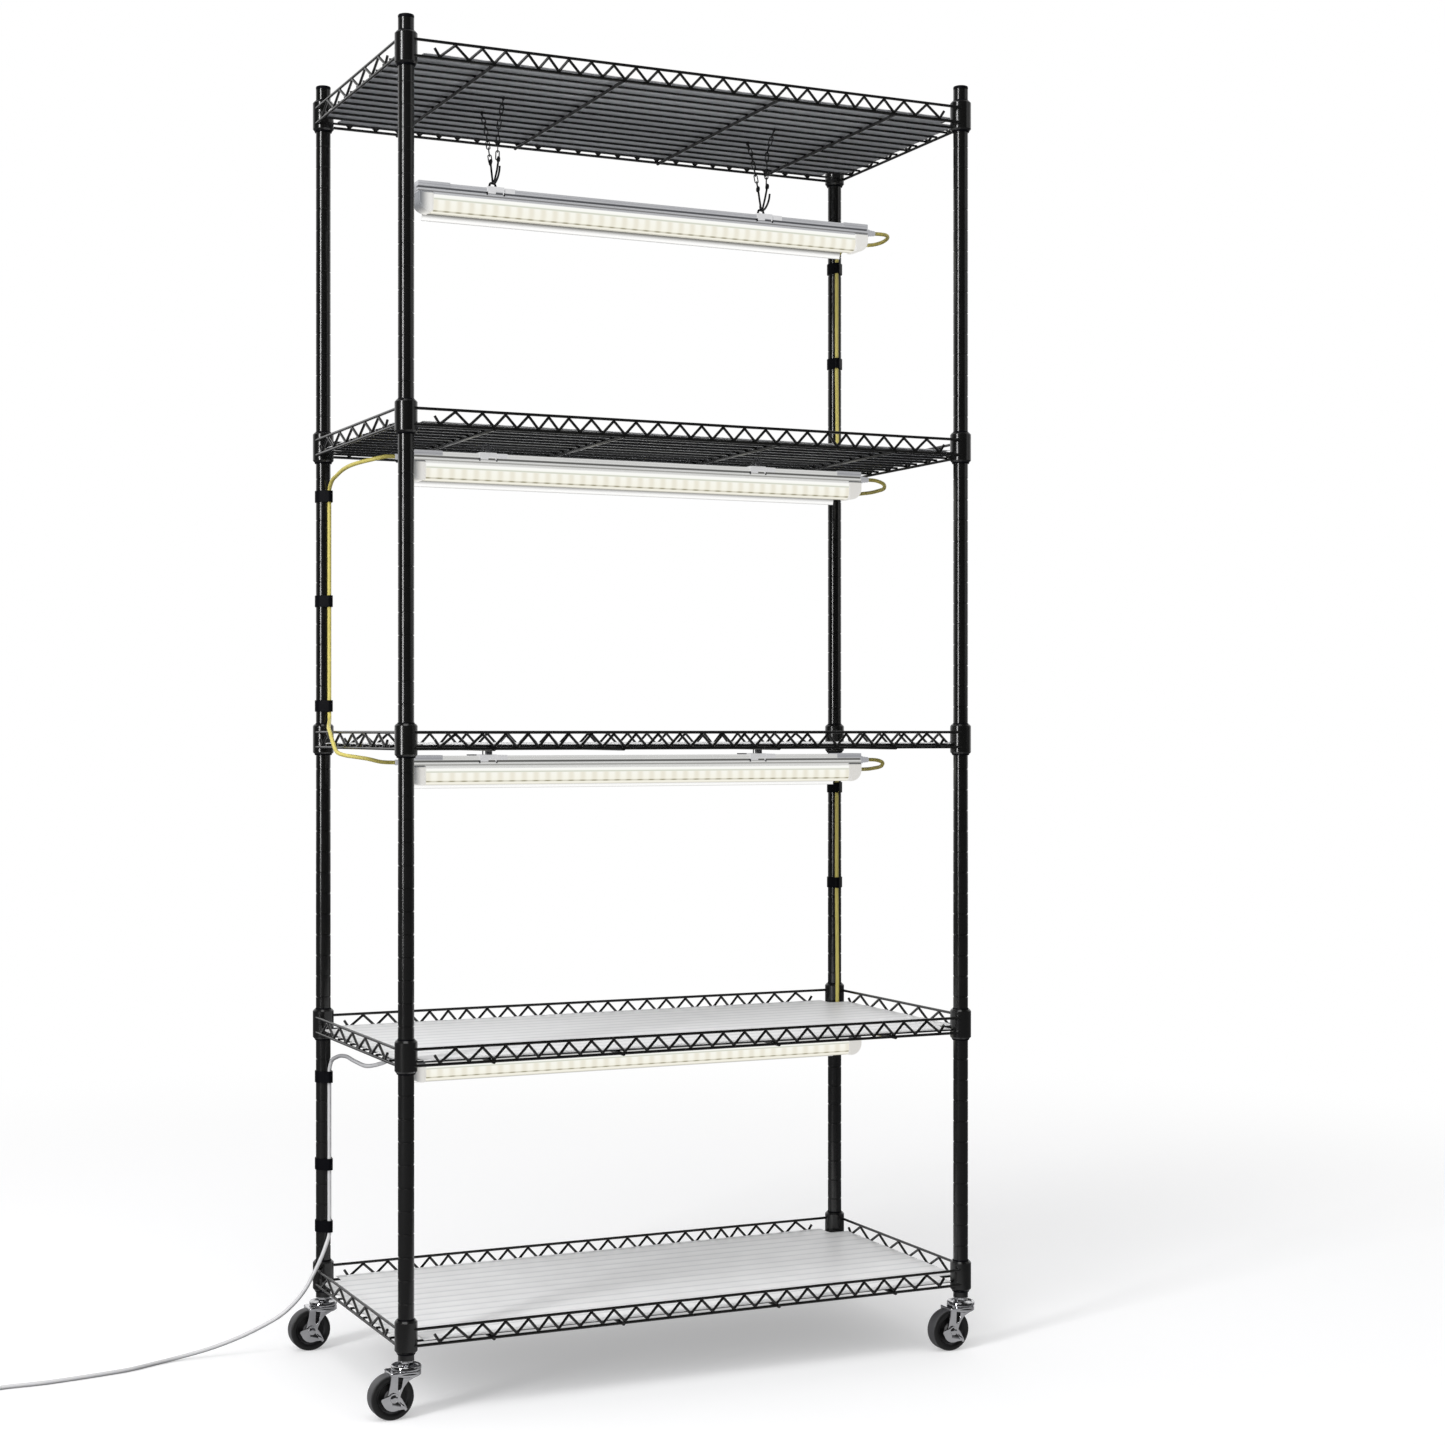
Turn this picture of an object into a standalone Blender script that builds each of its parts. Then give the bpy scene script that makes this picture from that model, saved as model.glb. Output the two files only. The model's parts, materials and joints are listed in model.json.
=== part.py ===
"""Wire plant stand on four casters, with four grow lights, their cables and a cord with a timer.

Metres, +Z up. X runs along the shelves and -Y faces the viewer. Everything is modelled round
the centre of the four posts on the floor. The root empty then moves the stand so that the
middle of its footprint lies on the origin.
"""
import math

import bmesh
import bpy
from mathutils import Matrix, Vector

# Clearances
GAP = 0.0003
WELD = 0.00001
OVERRUN = 0.002
BITE = 0.0003

# Posts, their split sleeves and their caps
POST_SPACING_X = 0.714
POST_SPACING_Y = 0.320
POST_DIAMETER = 0.018
POST_WALL = 0.0012
POST_BOTTOM = 0.0635
CAP_HEIGHT = 0.0042
CAP_PLUG = 0.012
SLEEVE_LOW_DIAMETER = 0.0206
TURNED_SIDES = 8

# Shelves: a collar on each post, a truss on each side and a deck of wires
COLLAR_BOTTOMS = {
    "bottom": 0.0716,
    "second": 0.3801,
    "third": 0.7293,
    "fourth": 1.0868,
    "top": 1.4933,
}
COLLAR_DIAMETER = 0.0255
COLLAR_HEIGHT = 0.036
POST_RISE = 0.0145
POST_TOP = COLLAR_BOTTOMS["top"] + COLLAR_HEIGHT + POST_RISE
COLLAR_BITE = 0.0012
RAIL_ABOVE_COLLAR_FOOT = 0.0082
RAIL_SPACING = 0.0182
RAIL_DIAMETER = 0.0034
RAIL_OFFSET = 0.010
RAIL_END = 0.0072
TRUSS_WIRE_DIAMETER = 0.0026
TRUSS_BITE = 0.0016
FRONT_WAVES = (0.0278,) * 6 + (0.0245,) * 2 + (0.0275,) * 2 + (0.032,)
FRONT_LAST_FOOT = 0.0185
SIDE_FIRST_PEAK = 0.1068
SIDE_WAVE = 0.0499
SIDE_PEAKS = 5
WELD_EVERY = 24
LONG_WIRE_DIAMETER = 0.0028
LONG_WIRE_PITCH = 0.0245
LONG_WIRES = 14
LONG_WIRE_SINK = 0.0005
CROSS_WIRE_DIAMETER = 0.0042
CROSS_WIRES_AT = (0.100, 0.258)

# Liners
LINER_THICKNESS = 0.001
LINER_INSET = 0.0025
LINER_NOTCH_X = 0.026
LINER_NOTCH_Y = 0.030

# Cable clips on the back posts
CABLE_DIAMETER = 0.0048
CABLE_OFFSET = 0.0118
CABLE_ANGLES = {"back_left": -67.5, "back_right": -104.9}
CLIP_HEIGHT = 0.014
CLIP_EYE_RADIUS = 0.0046
CLIP_HOLE_RADIUS = 0.0032
CLIP_HOLE_SIDES = 6
CLIP_SHARES = {
    "back_left": {("third", "fourth"): (0.868118, 0.469051, 0.069984),
                  ("bottom", "second"): (0.828991, 0.437064, 0.157798)},
    "back_right": {("fourth", "top"): (0.694197, 0.348718),
                   ("second", "third"): (0.845785, 0.437101)},
}

# Casters: x is the way the wheel trails and y is the axle
CASTER_YAW = 180.0
WHEEL_DIAMETER = 0.050
WHEEL_WIDTH = 0.018
WHEEL_SIDES = 16
WHEEL_PLAY = 0.0008
TRAIL = 0.018
AXLE_RADIUS = 0.003
AXLE_STUB = 0.0024
CROWN_TOP = 0.0525
CROWN_THICKNESS = 0.002
CROWN_FRONT = 0.014
CROWN_BACK = 0.026
CHEEK_THICKNESS = 0.002
CHEEK_TOP_FRONT = 0.004
CHEEK_TOP_BACK = 0.025
CHEEK_TIP = 0.0065
CUP_RADIUS = 0.017
CUP_HEIGHT = 0.0055
NECK_RADIUS = 0.008
FLANGE_RADIUS = 0.011
FLANGE_THICKNESS = 0.0024
STEM_LENGTH = 0.026
KINGPIN_RADIUS = 0.003
KINGPIN_HEAD_RADIUS = 0.0052
KINGPIN_HEAD = 0.0016
KINGPIN_HOLE_SIDES = 6
BRAKE_RADIUS = 0.013
BRAKE_THICKNESS = 0.0015
BRAKE_ARC_STEPS = 7

# Grow lights, measured down from the housing's top face
LAMP_SHELVES = {"lamp_1": "top", "lamp_2": "fourth", "lamp_3": "third", "lamp_4": "second"}
LAMP_DROPS = {"lamp_1": 0.0903, "lamp_2": 0.0003, "lamp_3": 0.0015, "lamp_4": 0.0011}
LAMP_TOPS = {lamp: COLLAR_BOTTOMS[LAMP_SHELVES[lamp]] - drop
             for lamp, drop in LAMP_DROPS.items()}
LAMP_SHIFT_X = {"lamp_1": 0.0095, "lamp_2": 0.0, "lamp_3": 0.0, "lamp_4": 0.0}
LAMP_LENGTH = 0.604
LAMP_HEIGHT = 0.0345
LAMP_CAP_LENGTH = 0.019
LAMP_CAP_WIDTH = 0.026
LAMP_CAP_NOSE = 0.011
LAMP_CAP_NOSE_START = 0.020
HOUSING_WIDTH = 0.021
HOUSING_DEPTH = 0.0142
GROOVE_TOP = 0.0053
GROOVE_FOOT = 0.0075
GROOVE_DEPTH = 0.001
GROOVE_SLANT = 0.0003
WING_LENGTH = 0.558
WING_TOP = 0.009
WING_STEP = 0.0045
WING_REACH = 0.024
WING_FOOT = 0.0392
WING_THICKNESS = 0.0012
END_BLOCK_LEFT = 0.040
END_BLOCK_RIGHT = 0.035
END_BLOCK_RISE = 0.0009
END_BLOCK_WIDTH = 0.023
RELIEF_AXIS = 0.0075
RELIEF_LENGTH = 0.0157
RELIEF_ROOT_RADIUS = 0.0045
RELIEF_TIP_RADIUS = 0.0034
SADDLES_AT = (-0.205, 0.154)
SADDLE_LENGTH = 0.025
SADDLE_WIDTH = 0.0244
SADDLE_RISE = 0.0015
SADDLE_SKIRT = 0.007
FORK_LENGTH = 0.006
FORK_WALL = 0.0014
BRACKET_WIDTH = 0.010
BRACKET_HEIGHT = 0.0035
BRACKET_LENGTH = 0.004
COVER_WIDTH = 0.026
COVER_WALL = 0.0012
COVER_TOP = HOUSING_DEPTH + GAP
COVER_CORNER_SHARE = 0.34
BOARD_WIDTH = 0.019
BOARD_TOP = HOUSING_DEPTH + GAP
BOARD_FOOT = 0.0305
BOARD_THICKNESS = 0.0012

# Hangers of the highest light
HANGER_WIRE_DIAMETER = 0.0024
HANGER_DECK_WIRE = 1.5
HANGER_WAIST_SHARES = (
    (0.65578231, 0.22938689),
    (0.18775510, 0.70401691),
    (0.07074830, 0.98308668))

# Timer, plug and coil on the floor
TIMER_CENTRE = (-0.795, 0.030)
TIMER_HEADING = -98.9
TIMER_LENGTH = 0.090
TIMER_WIDTH = 0.030
TIMER_HEIGHT = 0.014
TIMER_AXIS = 0.0065
TIMER_RELIEF_LENGTH = 0.012
TIMER_RELIEF_ROOT = 0.0045
TIMER_RELIEF_TIP = 0.0036
PANEL_MARGIN = 0.0035
PANEL_THICKNESS = 0.0012
PANEL_RECESS = 0.001
BUTTON_RADIUS = 0.0042
BUTTON_HEIGHT = 0.003
BUTTON_RISE = 0.0008
BUTTON_TRAVEL = 0.0006
BUTTON_SIDES = 10
BUTTONS_AT = {"timer_button": -0.006, "power_button": 0.024}
STADIUM_STEPS = 5
COIL_RADIUS = 0.0323
COIL_PITCH = 0.0055
COIL_LAYER = 0.0055
COIL_LOOPS = 4
COIL_POINTS_PER_LOOP = 24
COIL_LEAD = 0.034
COIL_LEAD_LEVEL = 0.011
COIL_TAIL = 0.040
COIL_LEAD_STEPS = 4
COIL_TURN_SHARE = 0.25
PLUG_LENGTH = 0.034
PLUG_WIDTH = 0.024
PLUG_HEIGHT = 0.017
PLUG_TAPER_SHARE = 0.7
PLUG_RELIEF_LENGTH = 0.012
BLADE_LENGTH = 0.017
BLADE_WIDTH = 0.0064
BLADE_THICKNESS = 0.0015
BLADE_SPACING = 0.0127

# Cable routes, chosen by hand in metres round the posts' centre
CABLE_STEP = 0.012
LINK_RINGS = 1
MAINS_RINGS = 2
FLATNESS = 0.0002
LINK_1_ROUTE = (
    (0.3275, 0.0, 1.3955), (0.3345, 0.0, 1.3957), (0.348, 0.006, 1.3965), (0.358, 0.020, 1.3962),
    (0.3605, 0.035, 1.3948), (0.3575, 0.052, 1.3940), (0.3545, 0.068, 1.3958),
    (0.3535, 0.088, 1.400), (0.3535, 0.112, 1.4035), (0.3538, 0.135, 1.4005),
    (0.354, 0.146, 1.3945), (0.354, 0.1486, 1.3885), (0.354, 0.1486, 1.372),
    (0.354, 0.1486, 1.260), (0.354, 0.1486, 1.243), (0.3535, 0.1465, 1.180), (0.353, 0.145, 1.130),
    (0.353, 0.145, 1.098), (0.353, 0.1447, 1.091), (0.353, 0.140, 1.0795), (0.353, 0.124, 1.0735),
    (0.353, 0.080, 1.070), (0.353, 0.040, 1.0695), (0.351, 0.016, 1.0715),
    (0.341, 0.0025, 1.0757), (0.328, 0.0, 1.0787), (0.318, 0.0, 1.079),
)
LINK_2_ROUTE = (
    (-0.318, 0.0, 1.079), (-0.329, 0.0, 1.0785), (-0.342, 0.008, 1.0755), (-0.352, 0.035, 1.0735),
    (-0.3555, 0.075, 1.071), (-0.355, 0.110, 1.066), (-0.3532, 0.138, 1.0605),
    (-0.3525, 0.1491, 1.0525), (-0.3525, 0.1491, 1.0370), (-0.3525, 0.1491, 0.9161),
    (-0.3525, 0.1491, 0.7878), (-0.3525, 0.1491, 0.7795), (-0.3540, 0.1435, 0.7730),
    (-0.3592, 0.127, 0.7680), (-0.3655, 0.108, 0.7642), (-0.3715, 0.088, 0.7605),
    (-0.3742, 0.072, 0.754), (-0.3745, 0.060, 0.743), (-0.3738, 0.048, 0.733),
    (-0.3705, 0.030, 0.7290), (-0.3612, 0.012, 0.7268), (-0.349, 0.0025, 0.7245),
    (-0.334, 0.0, 0.7210), (-0.326, 0.0, 0.7204), (-0.318, 0.0, 0.7203),
)
LINK_3_ROUTE = (
    (0.318, 0.0, 0.7203), (0.328, 0.0002, 0.7200), (0.342, 0.006, 0.7170), (0.3495, 0.020, 0.7122),
    (0.352, 0.050, 0.708), (0.353, 0.090, 0.706), (0.3535, 0.122, 0.7040), (0.3538, 0.139, 0.6995),
    (0.354, 0.147, 0.6945), (0.354, 0.1486, 0.6890), (0.354, 0.1486, 0.673),
    (0.354, 0.1486, 0.561), (0.354, 0.1486, 0.544), (0.3535, 0.1465, 0.470), (0.353, 0.145, 0.424),
    (0.353, 0.145, 0.391), (0.353, 0.1447, 0.384), (0.353, 0.140, 0.3725), (0.353, 0.124, 0.366),
    (0.353, 0.080, 0.3625), (0.353, 0.040, 0.362), (0.351, 0.016, 0.364), (0.341, 0.0025, 0.3682),
    (0.328, 0.0, 0.3712), (0.318, 0.0, 0.3715),
)
MAINS_ROUTE = (
    (-0.318, 0.0, 0.3715), (-0.323, 0.0, 0.3714), (-0.332, 0.006, 0.3675),
    (-0.3415, 0.028, 0.3620), (-0.347, 0.060, 0.3635), (-0.3485, 0.095, 0.3655),
    (-0.350, 0.125, 0.361), (-0.3518, 0.1440, 0.3525), (-0.3525, 0.1491, 0.3420),
    (-0.3525, 0.1491, 0.3260), (-0.3525, 0.1491, 0.2267), (-0.3525, 0.1491, 0.1580),
    (-0.3525, 0.1491, 0.1425), (-0.3586, 0.146, 0.1264), (-0.3731, 0.143, 0.0979),
    (-0.3861, 0.145, 0.0749), (-0.4118, 0.150, 0.0487), (-0.4371, 0.156, 0.0342),
    (-0.4875, 0.168, 0.0138), (-0.5395, 0.171, 0.0035), (-0.5702, 0.1598, 0.0026),
    (-0.5963, 0.1484, 0.0026), (-0.6211, 0.1429, 0.0026), (-0.6491, 0.1381, 0.0026),
    (-0.700, 0.1317, 0.0026), (-0.7492, 0.1315, 0.0026), (-0.766, 0.1285, 0.0026),
    (-0.7795, 0.117, 0.0036), (-0.7845, 0.103, 0.0058), (-0.7852, 0.0925, 0.0065),
    (-0.7861, 0.0866, 0.0065),
)

MODEL = "plant_stand"
CORNERS = {
    "front_left": (-1, -1),
    "front_right": (1, -1),
    "back_left": (-1, 1),
    "back_right": (1, 1),
}
CORD_NODES = ("mains_cord", "cord_coil", "timer_case", "timer_panel", "timer_button",
              "power_button", "mains_plug")


# Scene and materials
def clear_scene():
    """Remove every object that the file starts with."""
    for item in list(bpy.data.objects):
        bpy.data.objects.remove(item, do_unlink=True)


def make_collection(name):
    """Return a new collection linked to the scene."""
    collection = bpy.data.collections.new(name)
    bpy.context.scene.collection.children.link(collection)
    return collection


def make_material(name, colour, roughness, metallic=0.0, glow=0.0):
    """Return a Principled material."""
    material = bpy.data.materials.new(name)
    material.use_nodes = True
    shader = material.node_tree.nodes["Principled BSDF"]
    shader.inputs["Base Color"].default_value = (*colour, 1.0)
    shader.inputs["Roughness"].default_value = roughness
    shader.inputs["Metallic"].default_value = metallic
    shader.inputs["Emission Color"].default_value = (*colour, 1.0)
    shader.inputs["Emission Strength"].default_value = glow
    return material


def make_materials():
    """Return the stand's materials by name."""
    return {
        "black_paint": make_material("black_paint", (0.012, 0.012, 0.013), 0.32, 0.2),
        "black_plastic": make_material("black_plastic", (0.010, 0.009, 0.012), 0.45),
        "chrome": make_material("chrome", (0.62, 0.62, 0.63), 0.15, 1.0),
        "black_rubber": make_material("black_rubber", (0.012, 0.012, 0.012), 0.6),
        "liner_white": make_material("liner_white", (0.80, 0.80, 0.80), 0.5),
        "lamp_grey": make_material("lamp_grey", (0.56, 0.56, 0.60), 0.4),
        "cover_glow": make_material("cover_glow", (1.0, 0.96, 0.82), 0.4, glow=1.0),
        "board_buff": make_material("board_buff", (0.45, 0.36, 0.17), 0.5),
        "cable_yellow": make_material("cable_yellow", (0.73, 0.63, 0.10), 0.4),
        "cord_white": make_material("cord_white", (0.85, 0.85, 0.86), 0.4),
        "case_white": make_material("case_white", (0.84, 0.84, 0.85), 0.4),
        "panel_grey": make_material("panel_grey", (0.45, 0.46, 0.48), 0.5),
    }


# Modelling helpers
def add_object(name, data):
    """Return a new object with this data, linked to the scene for modelling."""
    item = bpy.data.objects.new(name, data)
    bpy.context.scene.collection.objects.link(item)
    return item


def evaluated_mesh(item):
    """Replace an object by the closed mesh that its curve or modifiers give, faces out."""
    bpy.context.view_layer.update()
    graph = bpy.context.evaluated_depsgraph_get()
    mesh = bpy.data.meshes.new_from_object(item.evaluated_get(graph))
    mesh.transform(item.matrix_world)
    result = add_object(item.name, mesh)
    bpy.data.objects.remove(item, do_unlink=True)
    shape = bmesh.new()
    shape.from_mesh(mesh)
    bmesh.ops.remove_doubles(shape, verts=shape.verts, dist=WELD)
    bmesh.ops.recalc_face_normals(shape, faces=shape.faces)
    shape.to_mesh(mesh)
    shape.free()
    return result


def poly_curve(name, outlines, dimensions, cyclic):
    """Return curve data made of straight splines through the given points."""
    curve = bpy.data.curves.new(name, "CURVE")
    curve.dimensions = dimensions
    for outline in outlines:
        spline = curve.splines.new("POLY")
        spline.points.add(len(outline) - 1)
        for point, place in zip(spline.points, outline):
            point.co = (*Vector(place).to_3d(), 1.0)
        spline.use_cyclic_u = cyclic
    return curve


def tube(name, points, diameter, rings):
    """Return a curve object: a round tube along the points, its ends filled."""
    curve = poly_curve(name, [points], "3D", False)
    curve.bevel_depth = diameter / 2
    curve.bevel_resolution = rings
    curve.use_fill_caps = True
    return add_object(name, curve)


def wire(points, diameter, rings=0):
    """Return a closed mesh of a wire along the points."""
    return evaluated_mesh(tube("wire", points, diameter, rings))


def three_sided_wire(points, diameter):
    """Return a closed mesh of a wire with a triangular section along the points."""
    section = add_object("section", poly_curve(
        "section", [ring_points(diameter / 2, 3)], "2D", True))
    curve = poly_curve("wire", [points], "3D", False)
    curve.bevel_mode = "OBJECT"
    curve.bevel_object = section
    curve.use_fill_caps = True
    result = evaluated_mesh(add_object("wire", curve))
    bpy.data.objects.remove(section, do_unlink=True)
    return result


def ring_points(radius, count, centre=(0.0, 0.0), start=0.0, sweep=2 * math.pi, closed=True):
    """Return points on an arc, the last one left out where the arc closes on itself."""
    steps = count if closed else count - 1
    return [
        (centre[0] + radius * math.cos(start + sweep * step / steps),
         centre[1] + radius * math.sin(start + sweep * step / steps))
        for step in range(count)
    ]


def plate(name, outlines, thickness, placing=None):
    """Return a flat plate with the first outline's shape and the others as holes."""
    curve = poly_curve(name, outlines, "2D", True)
    curve.fill_mode = "BOTH"
    curve.extrude = thickness / 2
    item = add_object(name, curve)
    item.matrix_world = placing or Matrix.Identity(4)
    return evaluated_mesh(item)


def box(low, high):
    """Return a closed box between two corners."""
    shape = bmesh.new()
    bmesh.ops.create_cube(shape, size=1.0)
    middle = (Vector(low) + Vector(high)) / 2
    size = Vector(high) - Vector(low)
    bmesh.ops.transform(shape, matrix=Matrix.LocRotScale(middle, None, size), verts=shape.verts)
    mesh = bpy.data.meshes.new("box")
    shape.to_mesh(mesh)
    shape.free()
    return add_object("box", mesh)


def turned(name, profile, sides, closed=False):
    """Return the body that a profile of radius and height makes when turned round Z."""
    mesh = bpy.data.meshes.new(name)
    places = [(radius, 0.0, height) for radius, height in profile]
    edges = [(index, index + 1) for index in range(len(profile) - 1)]
    if closed:
        edges.append((len(profile) - 1, 0))
    mesh.from_pydata(places, edges, [])
    item = add_object(name, mesh)
    screw = item.modifiers.new("turn", "SCREW")
    screw.steps = sides
    screw.render_steps = sides
    screw.use_merge_vertices = True
    screw.merge_threshold = WELD
    return evaluated_mesh(item)


def joined(name, items):
    """Return one object that holds several separate bodies."""
    shape = bmesh.new()
    for item in items:
        shape.from_mesh(item.data)
        bpy.data.objects.remove(item, do_unlink=True)
    mesh = bpy.data.meshes.new(name)
    shape.to_mesh(mesh)
    shape.free()
    return add_object(name, mesh)


def combined(target, other, operation):
    """Return the union or the difference of two bodies."""
    bool_step = target.modifiers.new(operation, "BOOLEAN")
    bool_step.operation = operation
    bool_step.object = other
    bool_step.solver = "EXACT"
    result = evaluated_mesh(target)
    bpy.data.objects.remove(other, do_unlink=True)
    return result


def fused(items):
    """Return one body made of overlapping bodies."""
    body = items[0]
    for item in items[1:]:
        body = combined(body, item, "UNION")
    return body


def placed(item, location=(0, 0, 0), rotation=None):
    """Turn and move a body's mesh and return the body."""
    turn = rotation.to_4x4() if rotation else Matrix.Identity(4)
    item.data.transform(Matrix.Translation(location) @ turn)
    return item


def smooth_path(points, step):
    """Return points about one step apart on a smooth curve through the given points."""
    knots = [Vector(point) for point in points]
    knots = [2 * knots[0] - knots[1]] + knots + [2 * knots[-1] - knots[-2]]
    path = [knots[1]]
    for index in range(1, len(knots) - 2):
        before, start, end, after = knots[index - 1:index + 3]
        span_in, span, span_out = (start - before).length, (end - start).length, (after - end).length
        leave = ((start - before) / span_in - (end - before) / (span_in + span)
                 + (end - start) / span) * span
        arrive = ((end - start) / span - (after - start) / (span + span_out)
                  + (after - end) / span_out) * span
        pieces = max(1, round(span / step))
        for piece in range(1, pieces + 1):
            t = piece / pieces
            path.append((2 * t**3 - 3 * t**2 + 1) * start + (t**3 - 2 * t**2 + t) * leave
                        + (3 * t**2 - 2 * t**3) * end + (t**3 - t**2) * arrive)
    return without_straight_points(path)


def without_straight_points(path):
    """Leave out the points that straight runs between the others pass closely enough."""
    kept = [0]
    for index in range(1, len(path) - 1):
        start = path[kept[-1]]
        along = (path[index + 1] - start).normalized()
        skipped = [place - start for place in path[kept[-1] + 1:index + 1]]
        if max((way - along * way.dot(along)).length for way in skipped) > FLATNESS:
            kept.append(index)
    return [path[index] for index in kept] + [path[-1]]


class Builder:
    """Puts finished bodies into the model's collection under its empties."""

    def __init__(self):
        self.materials = make_materials()
        self.collection = make_collection(MODEL)
        self.root = self.empty(MODEL, None)

    def empty(self, name, parent, location=(0, 0, 0), yaw=0.0):
        """Return an empty that carries other objects."""
        item = bpy.data.objects.new(name, None)
        self.collection.objects.link(item)
        item.location = location
        item.rotation_euler = (0, 0, yaw)
        item.parent = parent
        return item

    def node(self, name, body, material, parent=None, location=(0, 0, 0)):
        """Link a body as a named piece and return it."""
        shared = body.users_collection and body.users_collection[0] != self.collection
        item = body if shared else bpy.data.objects.new(name, body.data)
        if shared:
            bpy.context.scene.collection.objects.unlink(item)
        self.collection.objects.link(item)
        item.name = name
        item.parent = parent or self.root
        item.matrix_parent_inverse = Matrix.Identity(4)
        item.location = location
        if item.type == "MESH":
            item.data.shade_smooth()
            item.data.set_sharp_from_angle(angle=math.radians(46))
        item.data.name = name if shared else item.data.name
        item.data.materials.clear()
        item.data.materials.append(self.materials[material])
        return item


# Places that several pieces share
def post_place(corner):
    """Return the x and y of a post."""
    side_x, side_y = CORNERS[corner]
    return side_x * POST_SPACING_X / 2, side_y * POST_SPACING_Y / 2


def rail_height(level):
    """Return the height of a shelf's lower rails."""
    return COLLAR_BOTTOMS[level] + RAIL_ABOVE_COLLAR_FOOT


def long_wire_lift():
    """Return how far the deck wires' centres lie above the lower rails' centres."""
    return (RAIL_DIAMETER + LONG_WIRE_DIAMETER) / 2 - LONG_WIRE_SINK


def long_wire_places():
    """Return the y of each deck wire."""
    return [(index - (LONG_WIRES - 1) / 2) * LONG_WIRE_PITCH for index in range(LONG_WIRES)]


def liner_lift():
    """Return how far the liners' undersides lie above the lower rails' centres."""
    return long_wire_lift() + LONG_WIRE_DIAMETER / 2 + GAP


# Posts
def post_profile():
    """Return the post's outline with a tapered sleeve at each shelf, top to bottom."""
    radius = POST_DIAMETER / 2
    profile = [(0.0, POST_TOP), (radius, POST_TOP)]
    for foot in sorted(COLLAR_BOTTOMS.values(), reverse=True):
        profile.append((radius, foot + COLLAR_HEIGHT))
        profile.append((SLEEVE_LOW_DIAMETER / 2, foot))
        profile.append((radius, foot - BITE))
    return profile + [(radius, POST_BOTTOM), (0.0, POST_BOTTOM)]


def clip_body(angle, height):
    """Return the block of a cable clip, with its eye, reaching into the post's wall."""
    outer = CABLE_OFFSET + CLIP_EYE_RADIUS
    root = POST_DIAMETER / 2 - POST_WALL
    block = [(root, -CLIP_EYE_RADIUS), (outer, -CLIP_EYE_RADIUS), (outer, CLIP_EYE_RADIUS),
             (root, CLIP_EYE_RADIUS)]
    hole = ring_points(CLIP_HOLE_RADIUS, CLIP_HOLE_SIDES, (CABLE_OFFSET, 0.0))
    place = Matrix.Rotation(angle, 4, "Z") @ Matrix.Translation((0, 0, height))
    return plate("clip", [block, hole], CLIP_HEIGHT, place)


def clip_heights(corner):
    """Return the heights of a post's clips, each a share of the way between two collars."""
    heights = []
    for (lower, upper), shares in CLIP_SHARES.get(corner, {}).items():
        foot = COLLAR_BOTTOMS[lower] + COLLAR_HEIGHT
        heights += [foot + (COLLAR_BOTTOMS[upper] - foot) * share for share in shares]
    return heights


def build_posts(builder):
    """Make the four posts, with the cable clips on the two back ones, and their caps."""
    bore_radius = POST_DIAMETER / 2 - POST_WALL
    cap = turned("post_cap", [
        (0.0, POST_TOP + CAP_HEIGHT), (POST_DIAMETER / 2, POST_TOP + CAP_HEIGHT),
        (POST_DIAMETER / 2, POST_TOP + GAP), (bore_radius - GAP, POST_TOP + GAP),
        (bore_radius - GAP, POST_TOP - CAP_PLUG), (0.0, POST_TOP - CAP_PLUG)], TURNED_SIDES)
    for corner in CORNERS:
        body = turned("post", post_profile(), TURNED_SIDES)
        for height in clip_heights(corner):
            clip = clip_body(math.radians(CABLE_ANGLES[corner]), height)
            body = combined(body, clip, "UNION")
        bore = turned("bore", [
            (0.0, POST_TOP + OVERRUN), (bore_radius, POST_TOP + OVERRUN),
            (bore_radius, POST_BOTTOM - OVERRUN), (0.0, POST_BOTTOM - OVERRUN)], TURNED_SIDES)
        body = combined(body, bore, "DIFFERENCE")
        place = (*post_place(corner), 0.0)
        builder.node(f"post_{corner}", body, "black_paint", location=place)
        builder.node(f"post_cap_{corner}", cap, "black_plastic", location=place)


# Shelves
def collar_body(corner):
    """Return a collar, its bore tapered like the sleeve, its foot at height zero."""
    radius = COLLAR_DIAMETER / 2
    low = SLEEVE_LOW_DIAMETER / 2 + GAP
    top = POST_DIAMETER / 2 + 2 * GAP
    body = turned("collar", [
        (top, COLLAR_HEIGHT), (radius, COLLAR_HEIGHT), (radius, 0.0), (low, 0.0)],
        TURNED_SIDES, closed=True)
    return placed(body, (*post_place(corner), -RAIL_ABOVE_COLLAR_FOOT))


def truss_wave(places, height_low, height_high):
    """Return the points of a zigzag wire: down and up in turn, from foot to foot."""
    points = []
    for index, place in enumerate(places):
        foot = index % 2 == 0
        welded = foot and (index in (0, len(places) - 1) or (index // 2) % WELD_EVERY == 0)
        points.append((place, height_low - TRUSS_BITE if welded else
                       height_low if foot else height_high))
    return points


def front_wave_places():
    """Return the x of every foot and peak of the front truss, left to right."""
    peaks = [0.0]
    for pitch in FRONT_WAVES:
        peaks.append(peaks[-1] + pitch)
    peaks = [-peak for peak in reversed(peaks[1:])] + peaks
    feet = [(left + right) / 2 for left, right in zip(peaks, peaks[1:])]
    places = [peaks[0] - FRONT_LAST_FOOT]
    for peak, foot in zip(peaks, feet + [peaks[-1] + FRONT_LAST_FOOT]):
        places += [peak, foot]
    return places


def side_wave_places():
    """Return the y of every foot and peak of a side truss, back to front."""
    start = SIDE_FIRST_PEAK + SIDE_WAVE / 2
    return [start - index * SIDE_WAVE / 2 for index in range(2 * SIDE_PEAKS + 1)]


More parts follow.
